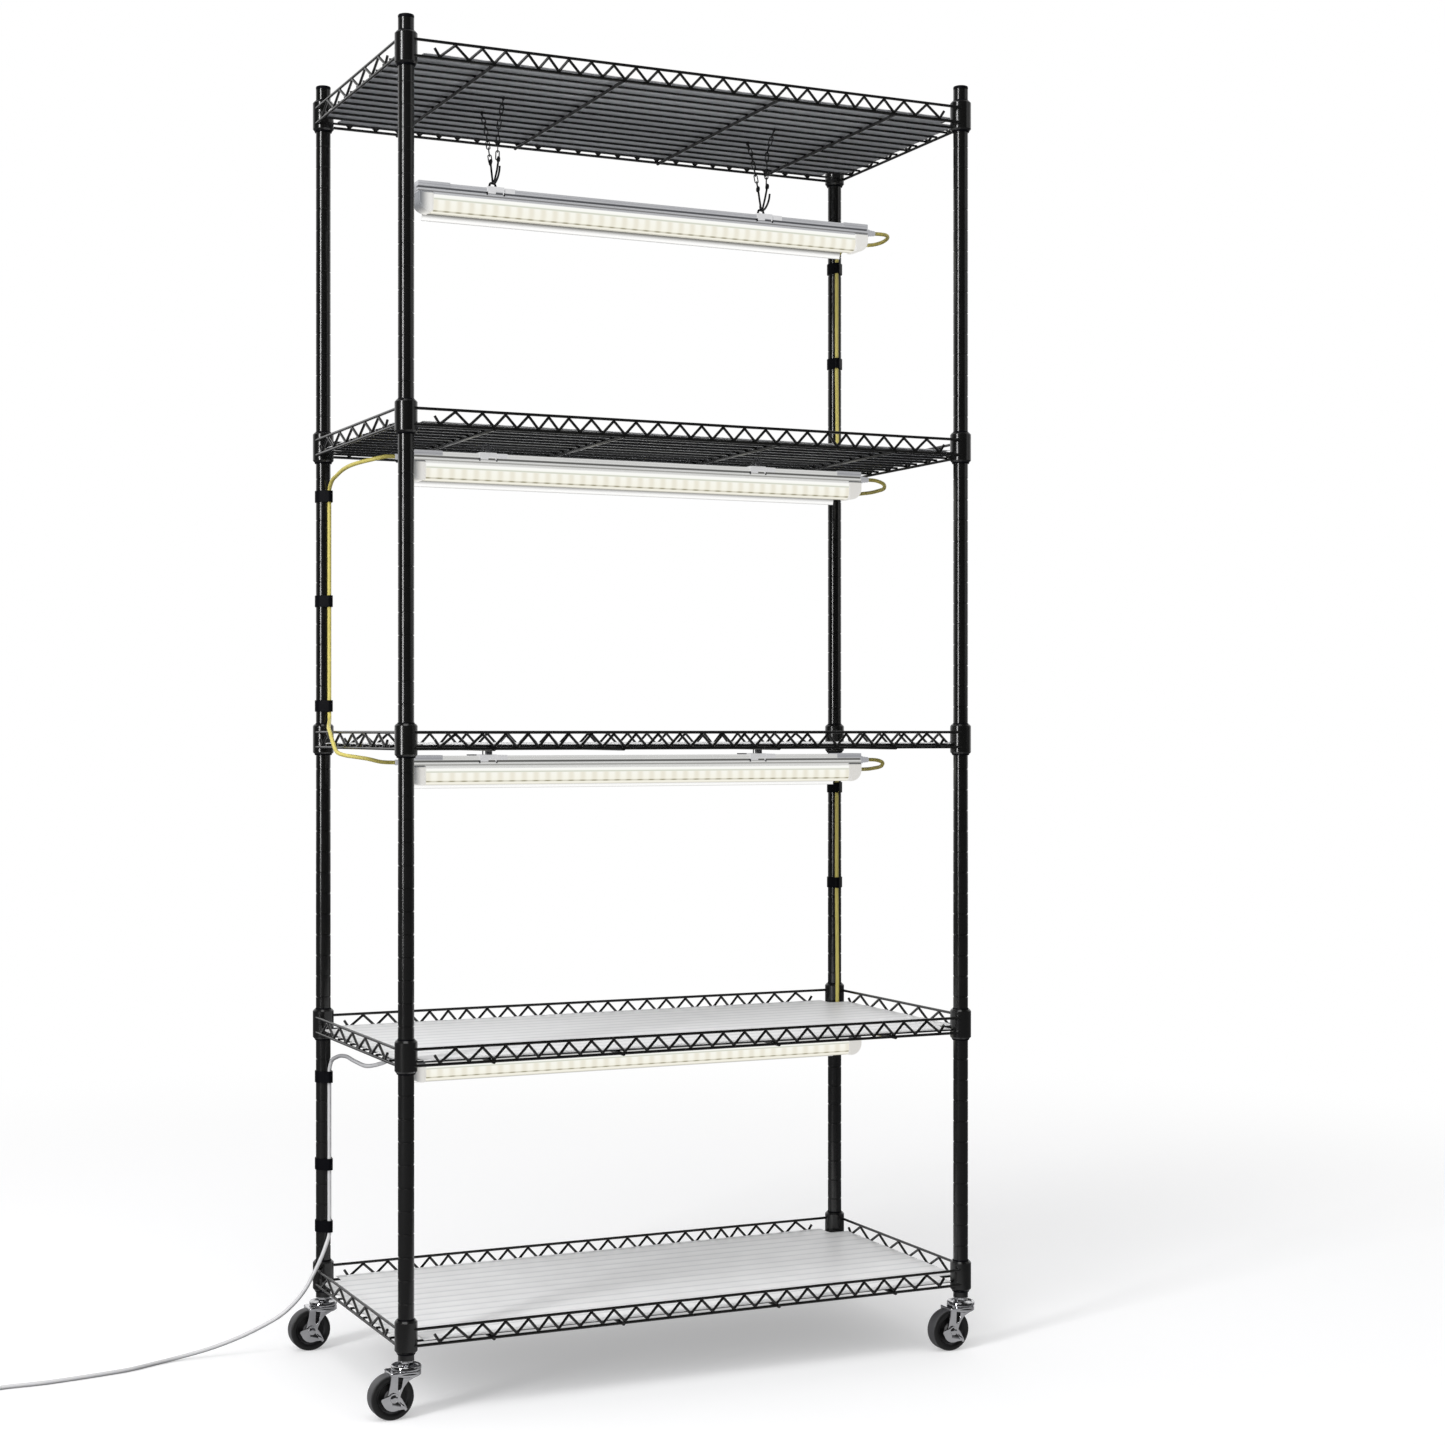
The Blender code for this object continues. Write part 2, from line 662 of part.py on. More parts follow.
def shelf_body():
    """Return one shelf with its lower rails' centres at height zero."""
    half_x, half_y = POST_SPACING_X / 2, POST_SPACING_Y / 2
    side_x, side_y = half_x + RAIL_OFFSET, half_y + RAIL_OFFSET
    clear = (RAIL_DIAMETER + TRUSS_WIRE_DIAMETER) / 2 + GAP
    rails, waves = [], []
    for sign in (-1, 1):
        for height in (0.0, RAIL_SPACING):
            rails.append(wire([(-half_x + RAIL_END, sign * side_y, height),
                               (half_x - RAIL_END, sign * side_y, height)], RAIL_DIAMETER))
            rails.append(wire([(sign * side_x, -half_y + RAIL_END, height),
                               (sign * side_x, half_y - RAIL_END, height)], RAIL_DIAMETER))
        front = truss_wave(front_wave_places(), clear, RAIL_SPACING - clear)
        waves.append(three_sided_wire(
            [(place, sign * side_y, height) for place, height in front], TRUSS_WIRE_DIAMETER))
        side = truss_wave(side_wave_places(), clear, RAIL_SPACING - clear)
        waves.append(three_sided_wire(
            [(sign * side_x, place, height) for place, height in side], TRUSS_WIRE_DIAMETER))
    long_wires = []
    for place in long_wire_places():
        meets_collar = abs(place) > half_y - COLLAR_DIAMETER / 2
        end = half_x - COLLAR_DIAMETER / 2 + COLLAR_BITE if meets_collar else side_x
        long_wires.append(three_sided_wire(
            [(-end, place, long_wire_lift()), (end, place, long_wire_lift())],
            LONG_WIRE_DIAMETER))
    cross_height = long_wire_lift() - (LONG_WIRE_DIAMETER + CROSS_WIRE_DIAMETER) / 2 - GAP
    cross_wires = [
        three_sided_wire([(sign * place, -side_y, cross_height),
                          (sign * place, side_y, cross_height)], CROSS_WIRE_DIAMETER)
        for place in CROSS_WIRES_AT for sign in (-1, 1)]
    return fused([
        joined("collars", [collar_body(corner) for corner in CORNERS]),
        joined("rails", rails),
        joined("long_wires", long_wires),
        joined("cross_wires", cross_wires),
        joined("waves", waves),
    ])


def liner_body():
    """Return a thin plate with a notch at each corner for the collars and cables."""
    half_x = POST_SPACING_X / 2 + RAIL_OFFSET - LINER_INSET
    half_y = POST_SPACING_Y / 2 + RAIL_OFFSET - LINER_INSET
    notch_x, notch_y = half_x - LINER_NOTCH_X, half_y - LINER_NOTCH_Y
    outline = []
    for sign_x, sign_y in ((1, 1), (-1, 1), (-1, -1), (1, -1)):
        corner = [(sign_x * half_x, sign_y * notch_y), (sign_x * notch_x, sign_y * notch_y),
                  (sign_x * notch_x, sign_y * half_y)]
        outline += corner if sign_x == sign_y else corner[::-1]
    return plate("liner", [outline], LINER_THICKNESS)


def build_shelves(builder):
    """Make the five shelves and the liners that lie on them."""
    shelf, liner = shelf_body(), liner_body()
    for level in COLLAR_BOTTOMS:
        height = rail_height(level)
        builder.node(f"shelf_{level}", shelf, "black_paint", location=(0, 0, height))
        builder.node(f"liner_{level}", liner, "liner_white",
                     location=(0, 0, height + liner_lift() + LINER_THICKNESS / 2))


# Casters
def stem_body():
    """Return the stem, nut, cup and riveted kingpin that are fixed to a post."""
    stem_radius = (POST_DIAMETER / 2 - POST_WALL) * math.cos(math.pi / TURNED_SIDES) - GAP
    flange_top = POST_BOTTOM - GAP
    flange_foot = flange_top - FLANGE_THICKNESS
    cup_foot = CROWN_TOP + GAP
    cup_top = cup_foot + CUP_HEIGHT
    head_top = CROWN_TOP - CROWN_THICKNESS - GAP
    return turned("caster_stem", [
        (0.0, POST_BOTTOM + STEM_LENGTH), (stem_radius, POST_BOTTOM + STEM_LENGTH),
        (stem_radius, flange_top), (FLANGE_RADIUS, flange_top), (FLANGE_RADIUS, flange_foot),
        (NECK_RADIUS, flange_foot), (NECK_RADIUS, cup_top), (CUP_RADIUS, cup_top),
        (CUP_RADIUS, cup_foot), (KINGPIN_RADIUS, cup_foot), (KINGPIN_RADIUS, head_top),
        (KINGPIN_HEAD_RADIUS, head_top), (KINGPIN_HEAD_RADIUS, head_top - KINGPIN_HEAD),
        (0.0, head_top - KINGPIN_HEAD)], TURNED_SIDES)


def cheek_inside():
    """Return how far a fork cheek's inner face lies from the wheel's middle."""
    return WHEEL_WIDTH / 2 + WHEEL_PLAY


def fork_body():
    """Return the swivel fork: crown plate, two cheeks and the axle between them."""
    axle_height = WHEEL_DIAMETER / 2
    crown_half = cheek_inside() + CHEEK_THICKNESS
    crown = plate("crown", [
        [(-CROWN_FRONT, -crown_half), (CROWN_BACK, -crown_half), (CROWN_BACK, crown_half),
         (-CROWN_FRONT, crown_half)],
        ring_points(KINGPIN_RADIUS + 2 * GAP, KINGPIN_HOLE_SIDES)], CROWN_THICKNESS,
        Matrix.Translation((0, 0, CROWN_TOP - CROWN_THICKNESS / 2)))
    upright = Matrix.Rotation(math.radians(90), 4, "X")
    cheeks = []
    for sign in (-1, 1):
        outline = [(CHEEK_TOP_BACK, CROWN_TOP - CROWN_THICKNESS + BITE),
                   (-CHEEK_TOP_FRONT, CROWN_TOP - CROWN_THICKNESS + BITE)]
        outline += ring_points(CHEEK_TIP, 3, (TRAIL, axle_height), math.radians(190),
                               math.radians(160), False)
        middle = sign * (cheek_inside() + CHEEK_THICKNESS / 2)
        cheeks.append(plate("cheek", [outline], CHEEK_THICKNESS,
                            Matrix.Translation((0, middle, 0)) @ upright))
    length = 2 * crown_half + AXLE_STUB
    axle = turned("axle", [(0.0, length), (AXLE_RADIUS, length), (AXLE_RADIUS, 0.0), (0.0, 0.0)],
                  TURNED_SIDES)
    placed(axle, (TRAIL, crown_half + AXLE_STUB, axle_height), upright.to_3x3())
    return fused([crown, joined("cheeks", cheeks), axle])


def wheel_body():
    """Return a wheel that turns round Y, with a flat facet at its foot."""
    radius = WHEEL_DIAMETER / 2 / math.cos(math.pi / WHEEL_SIDES)
    bore = AXLE_RADIUS + GAP
    half = WHEEL_WIDTH / 2
    body = turned("wheel", [(bore, half), (radius, half), (radius, -half), (bore, -half)],
                  WHEEL_SIDES, closed=True)
    level = Matrix.Rotation(math.radians(90), 3, "X") @ Matrix.Rotation(math.pi / WHEEL_SIDES, 3, "Z")
    return placed(body, rotation=level)


def brake_body():
    """Return the half-round brake lever that turns on the axle's end."""
    outline = ring_points(BRAKE_RADIUS, BRAKE_ARC_STEPS, (0, 0), math.pi, math.pi, False)
    rise = AXLE_RADIUS * 2
    outline += [(rise, rise), (-rise, rise)]
    hole = ring_points(AXLE_RADIUS + GAP, TURNED_SIDES)
    upright = Matrix.Rotation(math.radians(90), 4, "X")
    middle = cheek_inside() + CHEEK_THICKNESS + GAP + BRAKE_THICKNESS / 2
    return plate("brake", [outline, hole], BRAKE_THICKNESS,
                 Matrix.Translation((0, middle, 0)) @ upright)


def build_casters(builder):
    """Make the four swivel casters, all trailing the same way."""
    stem, fork, wheel, brake = stem_body(), fork_body(), wheel_body(), brake_body()
    for corner in CORNERS:
        pivot = builder.empty(f"caster_{corner}", builder.root, (*post_place(corner), 0.0),
                              math.radians(CASTER_YAW))
        axle = (TRAIL, 0.0, WHEEL_DIAMETER / 2)
        builder.node(f"caster_stem_{corner}", stem, "chrome", pivot)
        builder.node(f"caster_fork_{corner}", fork, "chrome", pivot)
        builder.node(f"caster_wheel_{corner}", wheel, "black_rubber", pivot, axle)
        builder.node(f"caster_brake_{corner}", brake, "chrome", pivot, axle)


# Grow lights, each modelled round the middle of its top face
def along_x(outline, length, centre=0.0):
    """Return a bar with an outline of y and z, lying along X."""
    turn = Matrix(((0, 0, 1, 0), (1, 0, 0, 0), (0, 1, 0, 0), (0, 0, 0, 1)))
    return plate("bar", [outline], length, Matrix.Translation((centre, 0, 0)) @ turn)


def housing_bar():
    """Return the grooved bar on top of a light."""
    half, neck = HOUSING_WIDTH / 2, HOUSING_WIDTH / 2 - GROOVE_DEPTH
    outline = [(half, 0.0), (half, -GROOVE_TOP), (neck, -GROOVE_TOP - GROOVE_SLANT),
               (neck, -GROOVE_FOOT + GROOVE_SLANT), (half, -GROOVE_FOOT), (half, -HOUSING_DEPTH)]
    outline += [(-y, z) for y, z in reversed(outline)]
    return along_x(outline, LAMP_LENGTH - 2 * LAMP_CAP_LENGTH + 2 * BITE)


def wing():
    """Return the white reflector behind the tube."""
    root = HOUSING_WIDTH / 2 - BITE
    shoulder = HOUSING_WIDTH / 2 + WING_STEP
    outline = [(root, -WING_TOP), (shoulder, -WING_TOP), (WING_REACH, -WING_FOOT),
               (WING_REACH - WING_THICKNESS, -WING_FOOT),
               (shoulder - WING_THICKNESS, -WING_TOP - WING_THICKNESS),
               (root, -WING_TOP - WING_THICKNESS)]
    return along_x(outline, WING_LENGTH)


def end_cap(sign, block_length):
    """Return a bullnosed end cap, the block on its top and its strain relief."""
    end = LAMP_LENGTH / 2
    root = end - LAMP_CAP_LENGTH
    upright = Matrix.Rotation(math.radians(90), 4, "X")
    cap = plate("cap", [[
        (sign * root, 0.0), (sign * end, 0.0), (sign * end, -LAMP_CAP_NOSE_START),
        (sign * (end - LAMP_CAP_NOSE), -LAMP_HEIGHT), (sign * root, -LAMP_HEIGHT)]],
        LAMP_CAP_WIDTH, upright)
    ends = sorted((sign * (end - GAP), sign * (end - block_length)))
    block = box((ends[0], -END_BLOCK_WIDTH / 2, -GROOVE_TOP + GAP),
                (ends[1], END_BLOCK_WIDTH / 2, END_BLOCK_RISE))
    relief = turned("relief", [
        (0.0, RELIEF_LENGTH), (RELIEF_TIP_RADIUS, RELIEF_LENGTH),
        (RELIEF_ROOT_RADIUS, -OVERRUN), (0.0, -OVERRUN)], TURNED_SIDES)
    placed(relief, (sign * end, 0.0, -RELIEF_AXIS),
           Matrix.Rotation(sign * math.radians(90), 3, "Y"))
    return [cap, block, relief]


def saddle(place):
    """Return the clip that grips the housing from above."""
    half = SADDLE_WIDTH / 2
    inner = HOUSING_WIDTH / 2 - BITE
    outline = [(-half, -SADDLE_SKIRT), (-inner, -SADDLE_SKIRT), (-inner, -BITE), (inner, -BITE),
               (inner, -SADDLE_SKIRT), (half, -SADDLE_SKIRT), (half, SADDLE_RISE),
               (-half, SADDLE_RISE)]
    return along_x(outline, SADDLE_LENGTH, place)


def deck_fork(place, wire_height):
    """Return the fork on a saddle that grips a deck wire from below."""
    middle = -LONG_WIRE_PITCH / 2
    slot = LONG_WIRE_DIAMETER / 2 + GAP
    outer = slot + FORK_WALL
    top = wire_height + LONG_WIRE_DIAMETER / 2
    seat = wire_height - LONG_WIRE_DIAMETER / 2 - GAP
    low = SADDLE_RISE - BITE
    shape = [(-outer, low), (outer, low), (outer, top), (slot, top), (slot, seat), (-slot, seat),
             (-slot, top), (-outer, top)]
    return along_x([(middle + y, z) for y, z in shape], FORK_LENGTH, place)


def housing_body(mounts):
    """Return a light's housing with the given mounts on its top."""
    parts = [housing_bar(), wing()]
    parts += end_cap(-1, END_BLOCK_LEFT) + end_cap(1, END_BLOCK_RIGHT)
    return fused(parts + [saddle(place) for place in SADDLES_AT] + mounts)


def cover_outline():
    """Return the outline of the clear cover's wall, outer side then inner side."""
    def side(inset):
        half = COVER_WIDTH / 2 - inset
        foot = -LAMP_HEIGHT + inset + GAP
        corner = COVER_WIDTH * COVER_CORNER_SHARE - inset
        arc = ring_points(corner, 3, (half - corner, foot + corner), 0.0, -math.pi / 2, False)
        right = [(half, -COVER_TOP)] + arc
        return right + [(-y, z) for y, z in reversed(right)]
    return side(0.0) + side(COVER_WALL)[::-1]


def board_outline():
    """Return the outline of the bent board that carries the light-emitting diodes."""
    half = BOARD_WIDTH / 2
    outer = [(half, -BOARD_TOP), (0.0, -BOARD_FOOT), (-half, -BOARD_TOP)]
    slim = BOARD_THICKNESS * 2
    return outer + [(-half + slim, -BOARD_TOP), (0.0, -BOARD_FOOT + slim), (half - slim, -BOARD_TOP)]


def build_lamps(builder):
    """Make the four lights: the highest one hangs, and the others are clipped to a deck."""
    wire_height = rail_height("fourth") + long_wire_lift() - LAMP_TOPS["lamp_2"]
    forks = [deck_fork(place, wire_height) for place in SADDLES_AT]
    clipped = housing_body(forks)
    brackets = [
        box((place - BRACKET_LENGTH / 2, -BRACKET_WIDTH / 2, SADDLE_RISE - BITE),
            (place + BRACKET_LENGTH / 2, BRACKET_WIDTH / 2, SADDLE_RISE + BRACKET_HEIGHT))
        for place in SADDLES_AT]
    hung = housing_body(brackets)
    inner_length = LAMP_LENGTH - 2 * LAMP_CAP_LENGTH - 2 * GAP
    cover = along_x(cover_outline(), inner_length)
    board = along_x(board_outline(), inner_length - 2 * COVER_WALL)
    for lamp, top in LAMP_TOPS.items():
        place = (LAMP_SHIFT_X[lamp], 0.0, top)
        housing = hung if lamp == "lamp_1" else clipped
        builder.node(f"{lamp}_housing", housing, "lamp_grey", location=place)
        builder.node(f"{lamp}_cover", cover, "cover_glow", location=place)
        builder.node(f"{lamp}_led_board", board, "board_buff", location=place)


def build_hangers(builder):
    """Make the two V-shaped hangers between the top deck and the highest light."""
    deck = rail_height("top") + long_wire_lift()
    top_gap = (LONG_WIRE_DIAMETER + HANGER_WIRE_DIAMETER) / 2 + GAP
    foot = (LAMP_TOPS["lamp_1"] + SADDLE_RISE + BRACKET_HEIGHT + HANGER_WIRE_DIAMETER / 2 + GAP
            - deck)
    reach = HANGER_DECK_WIRE * LONG_WIRE_PITCH
    half = [(reach, -top_gap)]
    half += [(reach * out, foot * down) for out, down in HANGER_WAIST_SHARES]
    half.append((HANGER_WIRE_DIAMETER / 2, foot))
    points = [(0.0, y, z) for y, z in half] + [(0.0, -y, z) for y, z in reversed(half)]
    for name, place in zip(("hanger_left", "hanger_right"), SADDLES_AT):
        body = tube(name, points, HANGER_WIRE_DIAMETER, 1)
        builder.node(name, body, "chrome",
                     location=(place + LAMP_SHIFT_X["lamp_1"], 0.0, deck))


# Cables, timer, coil and plug
def build_cables(builder):
    """Make the three linking cables and the visible run of the mains cord."""
    routes = {
        "link_cable_1": (LINK_1_ROUTE, "cable_yellow", LINK_RINGS),
        "link_cable_2": (LINK_2_ROUTE, "cable_yellow", LINK_RINGS),
        "link_cable_3": (LINK_3_ROUTE, "cable_yellow", LINK_RINGS),
        "mains_cord": (MAINS_ROUTE, "cord_white", MAINS_RINGS),
    }
    for name, (route, material, rings) in routes.items():
        body = tube(name, smooth_path(route, CABLE_STEP), CABLE_DIAMETER, rings)
        builder.node(name, body, material)


def stadium(length, width):
    """Return the outline of a strip with round ends, lying along X."""
    radius = width / 2
    reach = length / 2 - radius
    right = ring_points(radius, STADIUM_STEPS, (reach, 0), -math.pi / 2, math.pi, False)
    left = ring_points(radius, STADIUM_STEPS, (-reach, 0), math.pi / 2, math.pi, False)
    return right + left


def relief_body(root_radius, tip_radius, length):
    """Return a tapered strain relief that points along +X."""
    body = turned("relief", [
        (0.0, length), (tip_radius, length), (root_radius, -OVERRUN), (0.0, -OVERRUN)],
        TURNED_SIDES)
    return placed(body, rotation=Matrix.Rotation(math.radians(90), 3, "Y"))


def build_timer(builder):
    """Make the timer in the mains cord: case, panel and its two buttons."""
    pivot = builder.empty("timer", builder.root, (*TIMER_CENTRE, 0.0),
                          math.radians(TIMER_HEADING))
    case = plate("case", [stadium(TIMER_LENGTH, TIMER_WIDTH)], TIMER_HEIGHT,
                 Matrix.Translation((0, 0, TIMER_HEIGHT / 2)))
    panel_length, panel_width = TIMER_LENGTH - 2 * PANEL_MARGIN, TIMER_WIDTH - 2 * PANEL_MARGIN
    recess = plate("recess", [stadium(panel_length + 2 * GAP, panel_width + 2 * GAP)],
                   2 * PANEL_RECESS, Matrix.Translation((0, 0, TIMER_HEIGHT)))
    case = combined(case, recess, "DIFFERENCE")
    button_foot = TIMER_HEIGHT + BUTTON_RISE - BUTTON_HEIGHT
    well_foot = button_foot - BUTTON_TRAVEL - GAP
    for place in BUTTONS_AT.values():
        well = turned("well", [
            (0.0, TIMER_HEIGHT), (BUTTON_RADIUS + GAP, TIMER_HEIGHT),
            (BUTTON_RADIUS + GAP, well_foot), (0.0, well_foot)], BUTTON_SIDES)
        case = combined(case, placed(well, (place, 0, 0)), "DIFFERENCE")
    for sign, turn in ((1, 0.0), (-1, math.pi)):
        relief = relief_body(TIMER_RELIEF_ROOT, TIMER_RELIEF_TIP, TIMER_RELIEF_LENGTH)
        placed(relief, (sign * TIMER_LENGTH / 2, 0, TIMER_AXIS), Matrix.Rotation(turn, 3, "Z"))
        case = combined(case, relief, "UNION")
    builder.node("timer_case", case, "case_white", pivot)
    holes = [ring_points(BUTTON_RADIUS + GAP, BUTTON_SIDES, (place, 0))
             for place in BUTTONS_AT.values()]
    panel = plate("panel", [stadium(panel_length, panel_width)] + holes, PANEL_THICKNESS)
    panel_middle = TIMER_HEIGHT - PANEL_RECESS + GAP + PANEL_THICKNESS / 2
    builder.node("timer_panel", panel, "panel_grey", pivot, (0, 0, panel_middle))
    for name, place in BUTTONS_AT.items():
        button = turned(name, [
            (0.0, BUTTON_HEIGHT), (BUTTON_RADIUS, BUTTON_HEIGHT), (BUTTON_RADIUS, 0.0),
            (0.0, 0.0)], BUTTON_SIDES)
        builder.node(name, button, "case_white", pivot, (place, 0, button_foot))


def coil_points():
    """Return the cord from the timer, round the coil's loops and on to the plug, along +X."""
    low = CABLE_DIAMETER / 2
    start = TIMER_LENGTH / 2 + TIMER_RELIEF_LENGTH + GAP
    enter = start + COIL_LEAD
    ramp = COIL_LEAD - CABLE_DIAMETER - COIL_LEAD_LEVEL
    points = [Vector((start, 0, TIMER_AXIS))]
    for step in range(COIL_LEAD_STEPS + 1):
        share = step / COIL_LEAD_STEPS
        points.append(Vector((start + CABLE_DIAMETER + ramp * share, 0,
                              TIMER_AXIS + (low - TIMER_AXIS) * ease(share))))
    total = COIL_LOOPS * COIL_POINTS_PER_LOOP
    middle = COIL_LOOPS / 2
    for step in range(total + 1):
        turns = step / COIL_POINTS_PER_LOOP
        away = turns - middle
        inward = middle - rounded_corner(abs(away), COIL_TURN_SHARE)
        radius = COIL_RADIUS - COIL_PITCH * inward
        climb = away / (2 * COIL_TURN_SHARE) + 1 / 2
        height = low + COIL_LAYER * ease(min(1.0, max(0.0, climb)))
        angle = 2 * math.pi * turns
        points.append(Vector((enter + radius * math.sin(angle),
                              radius * math.cos(angle) - COIL_RADIUS, height)))
    finish = enter + COIL_TAIL
    for step in range(1, COIL_LEAD_STEPS + 1):
        share = step / COIL_LEAD_STEPS
        level = low + COIL_LAYER
        points.append(Vector((enter + (COIL_TAIL - CABLE_DIAMETER) * share, 0,
                              level + (PLUG_HEIGHT / 2 - level) * ease(share))))
    points.append(Vector((finish, 0, PLUG_HEIGHT / 2)))
    return points


def ease(share):
    """Return a share that starts and stops gently."""
    return share * share * (3 - 2 * share)


def rounded_corner(value, radius):
    """Return the value, with its corner at zero rounded over the radius."""
    return value if value > radius else (value * value / radius + radius) / 2


def least_self_gap(points, diameter):
    """Return the least gap between windings more than a quarter loop apart."""
    apart = COIL_POINTS_PER_LOOP // 4
    fine = [points[index].lerp(points[index + 1], share)
            for index in range(len(points) - 1) for share in (0.0, 0.5)]
    least = min((first - second).length
                for index, first in enumerate(fine) for second in fine[index + 2 * apart:])
    return least - diameter


def build_coil_and_plug(builder):
    """Make the coiled length of cord past the timer, and the plug at its end."""
    pivot = builder.empty("coil", builder.root, (*TIMER_CENTRE, 0.0),
                          math.radians(TIMER_HEADING))
    points = coil_points()
    print("coil least self gap mm", round(least_self_gap(points, CABLE_DIAMETER) * 1000, 3))
    builder.node("cord_coil", tube("cord_coil", points, CABLE_DIAMETER, 1), "cord_white", pivot)
    half_width, half_height = PLUG_WIDTH / 2, PLUG_HEIGHT / 2
    slim = half_width * PLUG_TAPER_SHARE
    body = plate("plug", [[(0.0, -slim), (PLUG_LENGTH / 2, -half_width),
                           (PLUG_LENGTH, -half_width), (PLUG_LENGTH, half_width),
                           (PLUG_LENGTH / 2, half_width), (0.0, slim)]], PLUG_HEIGHT)
    relief = relief_body(TIMER_RELIEF_ROOT, TIMER_RELIEF_TIP, PLUG_RELIEF_LENGTH)
    parts = [body, placed(relief, rotation=Matrix.Rotation(math.pi, 3, "Z"))]
    for sign in (-1, 1):
        middle = sign * BLADE_SPACING / 2
        parts.append(box((PLUG_LENGTH - BITE, middle - BLADE_THICKNESS / 2, -BLADE_WIDTH / 2),
                         (PLUG_LENGTH + BLADE_LENGTH, middle + BLADE_THICKNESS / 2,
                          BLADE_WIDTH / 2)))
    start = points[-1].x + GAP + PLUG_RELIEF_LENGTH
    builder.node("mains_plug", fused(parts), "case_white", pivot, (start, 0, half_height))


def stand_on_origin(builder):
    """Move the root so that the footprint's middle, without the cord, lies on the origin."""
    bpy.context.view_layer.update()
    graph = bpy.context.evaluated_depsgraph_get()
    places = [item.matrix_world @ vertex.co
              for item in builder.collection.objects
              if item.type != "EMPTY" and item.name not in CORD_NODES
              for vertex in item.evaluated_get(graph).to_mesh().vertices]
    middle = [(min(place[axis] for place in places) + max(place[axis] for place in places)) / 2
              for axis in (0, 1)]
    builder.root.location = (-middle[0], -middle[1], 0.0)
    bpy.context.view_layer.update()


def main():
    """Build the whole stand."""
    clear_scene()
    builder = Builder()
    build_posts(builder)
    build_shelves(builder)
    build_casters(builder)
    build_lamps(builder)
    build_hangers(builder)
    build_cables(builder)
    build_timer(builder)
    build_coil_and_plug(builder)
    stand_on_origin(builder)


if __name__ == "__main__":
    main()
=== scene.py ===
"""Looks of a wire plant stand with four grow lights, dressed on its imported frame.

Lengths are metres in the frame's own place. A piece is modelled at the place where it stays:
round a post, on a shelf, under a deck, on a caster's pivot or along a cable's route. The floor
cord lies as for storage, its spare length coiled just outside the view.
"""
import json
import logging
import math
from dataclasses import dataclass, field, replace
from enum import Enum

import bpy
from mathutils import Matrix, Vector

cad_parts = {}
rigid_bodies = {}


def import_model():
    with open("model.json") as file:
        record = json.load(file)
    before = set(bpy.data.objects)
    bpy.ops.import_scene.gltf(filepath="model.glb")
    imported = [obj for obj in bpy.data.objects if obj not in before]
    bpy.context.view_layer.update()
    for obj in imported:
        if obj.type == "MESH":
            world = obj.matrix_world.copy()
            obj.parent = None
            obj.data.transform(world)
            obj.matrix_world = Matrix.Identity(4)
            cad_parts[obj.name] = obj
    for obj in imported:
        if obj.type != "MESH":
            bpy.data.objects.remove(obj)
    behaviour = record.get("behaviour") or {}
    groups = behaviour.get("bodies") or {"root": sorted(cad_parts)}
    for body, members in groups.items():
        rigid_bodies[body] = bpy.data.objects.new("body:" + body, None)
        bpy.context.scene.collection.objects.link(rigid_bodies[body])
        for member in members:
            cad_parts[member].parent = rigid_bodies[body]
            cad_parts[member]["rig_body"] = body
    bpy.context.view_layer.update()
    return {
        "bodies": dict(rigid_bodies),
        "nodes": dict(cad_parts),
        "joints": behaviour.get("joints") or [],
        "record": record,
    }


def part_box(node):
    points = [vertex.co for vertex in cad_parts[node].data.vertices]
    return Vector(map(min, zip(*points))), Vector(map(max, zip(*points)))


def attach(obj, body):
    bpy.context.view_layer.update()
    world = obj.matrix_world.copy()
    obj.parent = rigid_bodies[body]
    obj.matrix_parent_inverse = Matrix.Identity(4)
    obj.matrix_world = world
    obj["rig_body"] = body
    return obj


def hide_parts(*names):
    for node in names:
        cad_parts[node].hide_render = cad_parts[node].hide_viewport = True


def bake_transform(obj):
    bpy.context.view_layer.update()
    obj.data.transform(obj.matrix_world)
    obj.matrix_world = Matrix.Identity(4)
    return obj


LOG = logging.getLogger("plant_stand")
CORNERS = {"front_left": (-1, -1), "front_right": (1, -1),
           "back_left": (-1, 1), "back_right": (1, 1)}
LEVELS = ("bottom", "second", "third", "fourth", "top")
SMOOTH_ANGLE = math.radians(38)
PLACE_TOLERANCE = 1e-6
# Share of its height that an arc over a deck wire keeps, so that it stays under the liner.
UNDER_LINER = 0.3

Item = bpy.types.Object
Tree = bpy.types.NodeTree
Socket = bpy.types.NodeSocket
Material = bpy.types.Material
Pair = tuple[float, float]
Point = tuple[float, float, float]
Profile = list[Pair]


class Body(str, Enum):
    """Moving bodies of the frame that hold more than one kind of piece."""

    STAND = "stand"
    HIGHEST_LIGHT = "highest_light"


class Slot(str, Enum):
    """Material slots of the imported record."""

    PAINT = "black_paint"
    PLASTIC = "black_plastic"
    CHROME = "chrome"
    RUBBER = "black_rubber"
    LINER = "liner_white"
    LAMP = "lamp_grey"
    COVER = "cover_glow"
    CABLE = "cable_yellow"
    CORD = "cord_white"
    CASE = "case_white"
    PANEL = "panel_grey"


# Colours and nodes
def linear(code: str) -> tuple[float, float, float, float]:
    """Turn an sRGB hex colour into linear light.

    Args:
        code: six hex digits after a hash sign.

    Returns:
        Red, green, blue and full alpha.
    """
    shades = [int(code[place:place + 2], 16) / 255 for place in (1, 3, 5)]
    lit = [shade / 12.92 if shade <= 0.04045 else ((shade + 0.055) / 1.055) ** 2.4
           for shade in shades]
    return (*lit, 1.0)


